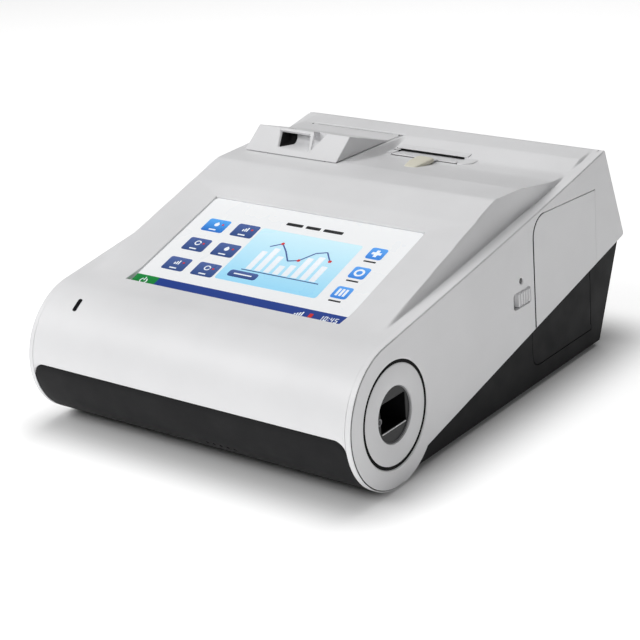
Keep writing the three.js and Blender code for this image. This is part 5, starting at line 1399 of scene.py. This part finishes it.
def build_printer_cover():
    shape = prism(cover_outline(), COVER_LOW.x + COVER_GAP, COVER_HIGH.x - COVER_GAP)
    body = mesh_object("printer_cover_shell", *shape)
    combine(body, cover_hollow())
    combine(body, cover_inside(), "UNION")
    combine(body, pocket_tool())
    melted(body, COVER_VOXEL, COVER_ROUNDS)
    piece(body, WHITE, "printer_cover", "shell_white", "printer_cover")


def build_cover_lines():
    """Painted shade for the cover's lines: a grey strip for the paper slit at its foot, a grey line for the
    seam at its hinge, and black dots for the two dimples at the seam's ends.
    """
    front, low = COVER_FOOT
    left, right = COVER_LOW.x, COVER_HIGH.x
    foot, top = low - 0.3, low + 0.25
    slit = [(front + 0.1, foot), (front + 0.7, foot), (front + 1.0, top), (front + 0.35, top)]
    slit = prism(slit, left + SLIT_ENDS[0], right - SLIT_ENDS[1])
    piece(mesh_object("paper_slit_shade", *slit), RECESS_SHADE_GREY, "printer_cover", "tray_black")
    seam = rectangle(SEAM_Y, low - LINE_SINK, SEAM_Y + SEAM_WIDTH, low + SEAM_RISE)
    seam = prism(seam, left + SEAM_ENDS[0], right - SEAM_ENDS[1])
    piece(mesh_object("hinge_seam_shade", *seam), RECESS_SHADE_GREY, "printer_cover", "tray_black")
    spots = [circle((x, SEAM_Y), DIMPLE_R, 16) for x in (left + DIMPLE_ENDS[0], right - DIMPLE_ENDS[1])]
    dots = [plate_mesh([spot], [DIMPLE_SOFT], low - LINE_SINK, low + DIMPLE_RISE) for spot in spots]
    dots = gathered(dots)
    piece(mesh_object("hinge_dimple_shade", *dots), PAINTED_SHADE_BLACK, "printer_cover", "tray_black")


def build_pocket_shadow():
    """A painted shadow in the pocket: a black sheet on its left wall, and on the back and floor beside it up
    to a curved edge.
    """
    top = POCKET_FLOOR + POCKET_TURN - 0.1
    line = [(COVER_LOW.y + 6.5, POCKET_FLOOR)] + pocket_hollow(10)[:-1] + [(POCKET_BACK, top)]
    outline = [(y - 0.2, z) for y, z in line] + [(COVER_RIDGE[0] + 0.6, top)]
    points, faces = plate_mesh([outline], [0.0], *SHADOW_SHEET_LEVELS)
    wall = [(POCKET_X - pocket_half(z) + h, y, z) for y, z, h in points]
    rings = []
    for i, (y, z) in enumerate(line):
        turn = i / (len(line) - 1) * pi / 2
        left = POCKET_X - pocket_half(z)
        right = POCKET_X - 11.0 + 3.0 * cos(turn) if i else POCKET_X - POCKET_LOW + 0.2
        low, high = [(y - sin(turn) * h, z + cos(turn) * h) for h in SHADOW_SHEET_LEVELS]
        rings.append([(left, *low), (right, *low), (right, *high), (left, *high)])
    both = gathered([(wall, faces), tube(rings)])
    piece(mesh_object("pocket_painted_shadow", *both), PAINTED_SHADE_BLACK, "printer_cover", "tray_black")


build_printer_cover()
build_cover_lines()
build_pocket_shadow()


# Release lever: a strap along the cover's ridge that turns down its slope at one end
STRAP = 1.9
STRAP_FACE, STRAP_TOP, STRAP_RISE = 2.2, 0.1, 0.12
STRAP_CORNERS, STRAP_SOFT = [0.4, 0.9, 0.3, 0.3, 2.4, 0.3], 0.5
SHELF_REAR, SHELF_FALL, SHELF_UNDER, SHELF_FRONT = 6.4, 1.9, 3.4, (0.6, 2.0)
SHELF_CORNERS, SHELF_SOFT = [0.6, 0.3, 0.3, 0.3], 0.4
STRAP_ENDS = (POCKET_X - POCKET_TOP + 0.6, POCKET_X + 7.0, POCKET_X + 13.9)
SLOPE_RUN, SLOPE_RISE = COVER_RIDGE[0] - COVER_FOOT[0], COVER_RIDGE[1] - COVER_FOOT[1]
SLOPE = atan2(SLOPE_RISE, SLOPE_RUN)
STRAP_FOOT = hypot(SLOPE_RUN, SLOPE_RISE) - 4.6


def on_slope(x, run, h):
    """A point over the cover's front slope: x across, run down it from the ridge, h off it."""
    y, z = COVER_RIDGE
    return (x, y - run * cos(SLOPE) - h * sin(SLOPE), z - run * sin(SLOPE) + h * cos(SLOPE))


def build_release_lever():
    left, corner, foot = STRAP_ENDS
    y, z = COVER_RIDGE
    outline = [
        (left, STRAP_FACE), (corner - 0.6, STRAP_FACE), (foot - 1.3, STRAP_FOOT),
        (foot + 0.3, STRAP_FOOT), (corner + 1.6, STRAP_TOP), (left, STRAP_TOP),
    ]
    outline = rounded(outline, STRAP_CORNERS, 6)
    points, strap_faces = plate_mesh([outline], [STRAP_SOFT], -STRAP, STRAP_RISE)
    strap = [on_slope(*point) for point in points]
    rear, (front, deep) = y + SHELF_REAR, SHELF_FRONT
    top = [(y, z), (rear, z - SHELF_FALL), (rear, z - SHELF_UNDER), (y - front, z - deep)]
    points, shelf_faces = plate_mesh([rounded(top, SHELF_CORNERS, 3)], [SHELF_SOFT], left, corner + 1.0)
    shelf = [(h, a, b) for a, b, h in points]
    bar = mesh_object("release_lever_bar", *gathered([(strap, strap_faces), (shelf, shelf_faces)]))
    piece(bar, WHITE, "release_lever", "shell_white", "release_lever")


build_release_lever()


# Slot surround with its slit under a lintel, the cartridge and its port
CARD_LOW, CARD_HIGH = node_box("test_cartridge")
PORT_LOW, PORT_HIGH = node_box("sample_port")
CARD_TILT = tan(radians(8))
CARD_SINK = 1.3
CARD_THICK = 0.8
CARD_INSET, CARD_CORNER, CARD_SOFT = 0.1, 1.2, 0.25
NECK_INSET, NECK_FRONT, NECK_REAR, NECK_CORNER, NECK_SOFT = 0.8, 8.0, 6.0, 1.0, 0.3
NECK_LEVELS = (-CARD_THICK + 0.05, 0.15)
SLOT_LEFT, SLOT_RIGHT, SLOT_FRONT, SLOT_REAR = SLOT_HOLE
SLOT_FLOOR = DECK - VALLEY[1][1]
PAD_FRONT = SLOT_FRONT - 0.2
PAD_REAR = 103.0
PAD_LEFT = -23.0
PAD_RIGHT = 43.5
PAD_TOP, PAD_DEEP = 0.8, 1.2
PAD_CORNER, PAD_SOFT = 7.4, 0.3
PAD_VOXEL, PAD_ROUNDS = 0.3, 1
LINTEL_Y = 98.3
LINTEL_BACK = LINTEL_Y + 0.6
SLIT_TOP = SLOT_FLOOR + 1.2
SLIT_LEFT = -19.8
SLIT_RIGHT = 32.0
CORNER_FRONT = (94.5, 95.2)
DEEP_LEVELS = (SLOT_FLOOR - 4.4, SLOT_FLOOR - 3.4)


def card_height(y):
    return CARD_HIGH.z - CARD_SINK - CARD_TILT * (y - CARD_LOW.y)


def build_slot():
    """A raised pad with a lintel over its rear end; the passage and the left corner are cut out."""
    floor, left = SLOT_FLOOR, SLOT_LEFT + 0.3
    stadium = rounded(rectangle(PAD_LEFT, PAD_FRONT, PAD_RIGHT, PAD_REAR), PAD_CORNER, 12)
    pad = plate_mesh([stadium], [PAD_SOFT], floor - PAD_DEEP, floor + PAD_TOP)
    lintel = [
        (LINTEL_Y, SLIT_TOP), (LINTEL_Y, SLIT_TOP + 0.7),
        (PAD_REAR + 0.5, SLIT_TOP + 1.3), (PAD_REAR + 2.0, SLIT_TOP),
    ]
    lintel = prism(lintel, SLIT_LEFT + 0.8, SLOT_RIGHT + 0.6)
    surround = mesh_object("slot_surround", *gathered([pad, lintel]))
    melted(surround, PAD_VOXEL, PAD_ROUNDS)
    front, rear = PAD_FRONT - 2, PAD_REAR + 4
    passage = [
        (front, floor - 3), (rear, floor - 3), (rear, floor - 0.3), (LINTEL_BACK, floor - 0.3),
        (LINTEL_BACK, SLIT_TOP), (LINTEL_Y, SLIT_TOP), (LINTEL_Y, floor + 6), (front, floor + 6),
    ]
    combine(surround, mesh_object("passage", *prism(passage, SLOT_LEFT + 0.1, SLOT_RIGHT - 0.1)))
    corner = [
        (SLIT_LEFT - 0.8, CORNER_FRONT[0]), (left, CORNER_FRONT[1]),
        (left, LINTEL_BACK), (SLIT_LEFT, LINTEL_BACK),
    ]
    combine(surround, mesh_object("slot_corner", *plate_mesh([corner], [0.0], floor - 2, SLIT_TOP)))
    piece(surround, WHITE, "chassis", "shell_white", "slot_bezel")
    # Black pieces in the slot paint its shade: a strip behind the slit under the lintel, a sheet in the cut
    # left corner and a plate deep under the slot.
    strip = rectangle(LINTEL_BACK - 0.35, floor - 0.25, LINTEL_BACK + 0.1, SLIT_TOP + 0.05)
    parts = [prism(strip, SLIT_LEFT, SLIT_RIGHT)]
    parts.append(plate_mesh([offset_loop(corner, -0.2)], [0.0], floor - 0.2, floor + 0.5))
    parts.append(plate_mesh([rectangle(SLOT_LEFT, PAD_FRONT, SLOT_RIGHT, SLOT_REAR)], [0.0], *DEEP_LEVELS))
    piece(mesh_object("slot_mouth_shade", *gathered(parts)), PAINTED_SHADE_BLACK, "chassis", "tray_black")


def build_cartridge():
    left, right = CARD_LOW.x + CARD_INSET, CARD_HIGH.x - CARD_INSET
    card = rounded(rectangle(left, PAD_FRONT - CARD_INSET, right, CARD_HIGH.y - 0.3), CARD_CORNER, 4)
    left, right = PORT_LOW.x + NECK_INSET, PORT_HIGH.x - NECK_INSET
    neck = rounded(rectangle(left, PORT_HIGH.y - NECK_FRONT, right, PORT_HIGH.y + NECK_REAR), NECK_CORNER, 4)
    points, faces = gathered([
        plate_mesh([card], [CARD_SOFT], -CARD_THICK, 0.0), plate_mesh([neck], [NECK_SOFT], *NECK_LEVELS),
    ])
    points = [(x, y, card_height(y) + h) for x, y, h in points]
    card = mesh_object("test_cartridge_card", points, faces)
    piece(card, WHITE, "cartridge", "shell_white", "test_cartridge")


# Sample port: a low wedge of soft rubber, full width at its back, drawn in and rounded at its tip
PORT_STEPS, PORT_AROUND = 30, 24
PORT_FRONT, PORT_REAR = PORT_LOW.y - 3.8, PORT_HIGH.y - 2.4
PORT_FLOOR = SLOT_FLOOR + 0.5
PORT_X, PORT_HALF = (PORT_LOW.x + PORT_HIGH.x) / 2, (PORT_HIGH.x - PORT_LOW.x) / 2
NOSE_SHARE, TAIL_SHARE, WIDEN_SHARE, RISE_SHARE = 0.16, 0.08, 0.6, 0.5
TIP_WIDTH_SHARE = 0.62
TIP_HEIGHT, PORT_RISE = 2.9, 0.9
ACROSS_POWER, UP_POWER = 0.55, 0.6
LEAST = 0.0004


def bulge(value, power):
    """A sine or cosine made fuller, as in a rounded box."""
    return abs(value) ** power * (1 if value > 0 else -1)


def port_ring(t):
    """The section at a share of the port's length, from tip to back."""
    y = PORT_FRONT + (PORT_REAR - PORT_FRONT) * t
    nose = sqrt(max(1 - (1 - min(t / NOSE_SHARE, 1.0)) ** 2, LEAST))
    tail = sqrt(max(1 - (max(t - (1 - TAIL_SHARE), 0.0) / TAIL_SHARE) ** 2, LEAST))
    widen, rise = min(t / WIDEN_SHARE, 1.0), min(t / RISE_SHARE, 1.0)
    wide = PORT_HALF * (TIP_WIDTH_SHARE + (1 - TIP_WIDTH_SHARE) * widen) * nose * (0.86 + 0.14 * tail)
    tall = (TIP_HEIGHT + PORT_RISE * rise) * (0.45 + 0.55 * nose) * (0.8 + 0.2 * tail)
    x, z = PORT_X + 0.6 + 1.4 * (1 - widen), PORT_FLOOR + tall / 2
    angles = [2 * pi * k / PORT_AROUND for k in range(PORT_AROUND)]
    return [
        (x + wide * bulge(cos(a), ACROSS_POWER), y, z + tall / 2 * bulge(sin(a), UP_POWER)) for a in angles
    ]


def build_sample_port():
    shape = tube([port_ring(i / PORT_STEPS) for i in range(PORT_STEPS + 1)])
    piece(mesh_object("sample_port_nose", *shape), CREAM, "cartridge", "cream_rubber", "sample_port")


# Black inner panel of the door
PANEL_VOXEL, PANEL_VOXEL_QUICK, PANEL_ROUNDS = 0.5, 0.8, 3


def build_door_panel():
    voxel = PANEL_VOXEL
    panel = melted(copy_of("door_panel", "door_panel_shell"), voxel, PANEL_ROUNDS)
    piece(panel, BLACK, "pack_door", "tray_black", "door_panel")


build_slot()
build_cartridge()
build_sample_port()
build_door_panel()


# Floor, lights and camera
# The painted contact shadow's half size round the object, how far it fades out, and the strength of the
# floor's painted light beyond it
SHADOW_FOOTPRINT_HALF = (0.105, 0.135, 0)
SHADOW_FADE_REACH, FLOOR_LIGHT_STRENGTH = 0.06, 0.58
FLOOR_REACH = 6.0
FLOOR_TONE = (0.80, 0.80, 0.80, 1)
LIGHT_TARGET = (0, -0.03, 0.06)
LIGHTS = (
    ("key", (-0.7, -1.35, 1.32), (1.3, 0.9), 20.5),
    ("top", (-0.1, 0.1, 1.7), (1.6, 1.3), 8.6),
    ("rear", (-0.2, 1.1, 1.4), (1.3, 0.9), 6.1),
    ("left", (-1.5, -0.3, 0.8), (0.9, 0.9), 3.5),
    ("right", (1.2, -1.0, 0.6), (0.9, 0.9), 1.9),
)
AZIMUTH, ELEVATION, ROLL = radians(36.89), radians(20.87), radians(-2.88)
DISTANCE, FOCAL, IMAGE_WIDTH, SENSOR_WIDTH = 1120.18, 1763.45, 640, 36
TARGET = Vector((-16.51, 0, 35.33))


def painted_floor_light(tree):
    """Painted light on the floor, and a painted contact shadow: the glow is nil under the object and full a
    hand's width away from it.
    """
    place = tree.nodes.new("ShaderNodeTexCoord")
    vector = place.outputs["Object"]
    for operation, value in (("ABSOLUTE", None), ("SUBTRACT", SHADOW_FOOTPRINT_HALF), ("MAXIMUM", (0, 0, 0))):
        node = tree.nodes.new("ShaderNodeVectorMath")
        node.operation = operation
        tree.links.new(vector, node.inputs[0])
        if value:
            node.inputs[1].default_value = value
        vector = node.outputs["Vector"]
    length = tree.nodes.new("ShaderNodeVectorMath")
    length.operation = "LENGTH"
    tree.links.new(vector, length.inputs[0])
    spread = tree.nodes.new("ShaderNodeMapRange")
    spread.interpolation_type = "SMOOTHSTEP"
    tree.links.new(length.outputs["Value"], spread.inputs["Value"])
    spread.inputs["From Min"].default_value = 0.0
    spread.inputs["From Max"].default_value = SHADOW_FADE_REACH
    spread.inputs["To Min"].default_value = 0.0
    spread.inputs["To Max"].default_value = FLOOR_LIGHT_STRENGTH
    return spread.outputs["Result"]


def build_stage():
    mesh = bpy.data.meshes.new("studio_floor")
    corners = [(x, y, 0) for x, y in rectangle(-FLOOR_REACH, -FLOOR_REACH, FLOOR_REACH, FLOOR_REACH)]
    mesh.from_pydata(corners, [], [(0, 1, 2, 3)])
    floor = new_object("studio_floor", mesh)
    material, tree, shader = node_material("floor_paper")
    shader.inputs["Base Color"].default_value = FLOOR_TONE
    shader.inputs["Roughness"].default_value = 0.9
    shader.inputs["Specular IOR Level"].default_value = 0.1
    shader.inputs["Emission Color"].default_value = (1, 1, 1, 1)
    tree.links.new(painted_floor_light(tree), shader.inputs["Emission Strength"])
    floor.data.materials.append(material)
    world = bpy.data.worlds.new("studio")
    bpy.context.scene.world = world
    world.use_nodes = True
    background = world.node_tree.nodes["Background"]
    background.inputs["Color"].default_value = (1, 1, 1, 1)
    background.inputs["Strength"].default_value = 0.02
    bpy.context.scene.view_settings.view_transform = "Standard"


def add_light(name, place, size, watts):
    light = bpy.data.lights.new(name, "AREA")
    light.shape = "RECTANGLE"
    light.size, light.size_y = size
    light.energy = watts
    obj = new_object(name, light)
    obj.location = place
    obj.rotation_euler = (Vector(LIGHT_TARGET) - Vector(place)).to_track_quat("-Z", "Y").to_euler()


def build_camera():
    """The camera that the photo was taken with, as fitted to it."""
    back = Vector((sin(AZIMUTH) * cos(ELEVATION), -cos(AZIMUTH) * cos(ELEVATION), sin(ELEVATION)))
    level = Vector((cos(AZIMUTH), sin(AZIMUTH), 0))
    upright = back.cross(level)
    right = cos(ROLL) * level + sin(ROLL) * upright
    up = -sin(ROLL) * level + cos(ROLL) * upright
    data = bpy.data.cameras.new("camera")
    camera = new_object("camera", data)
    turn = Matrix((right, up, back)).transposed()
    camera.matrix_world = Matrix.Translation((TARGET + back * DISTANCE) * MM) @ turn.to_4x4()
    data.sensor_width = SENSOR_WIDTH
    data.sensor_fit = "HORIZONTAL"
    data.lens = FOCAL / IMAGE_WIDTH * SENSOR_WIDTH
    data.clip_start, data.clip_end = 0.05, 20
    bpy.context.scene.camera = camera


build_stage()
for light_values in LIGHTS:
    add_light(*light_values)
build_camera()
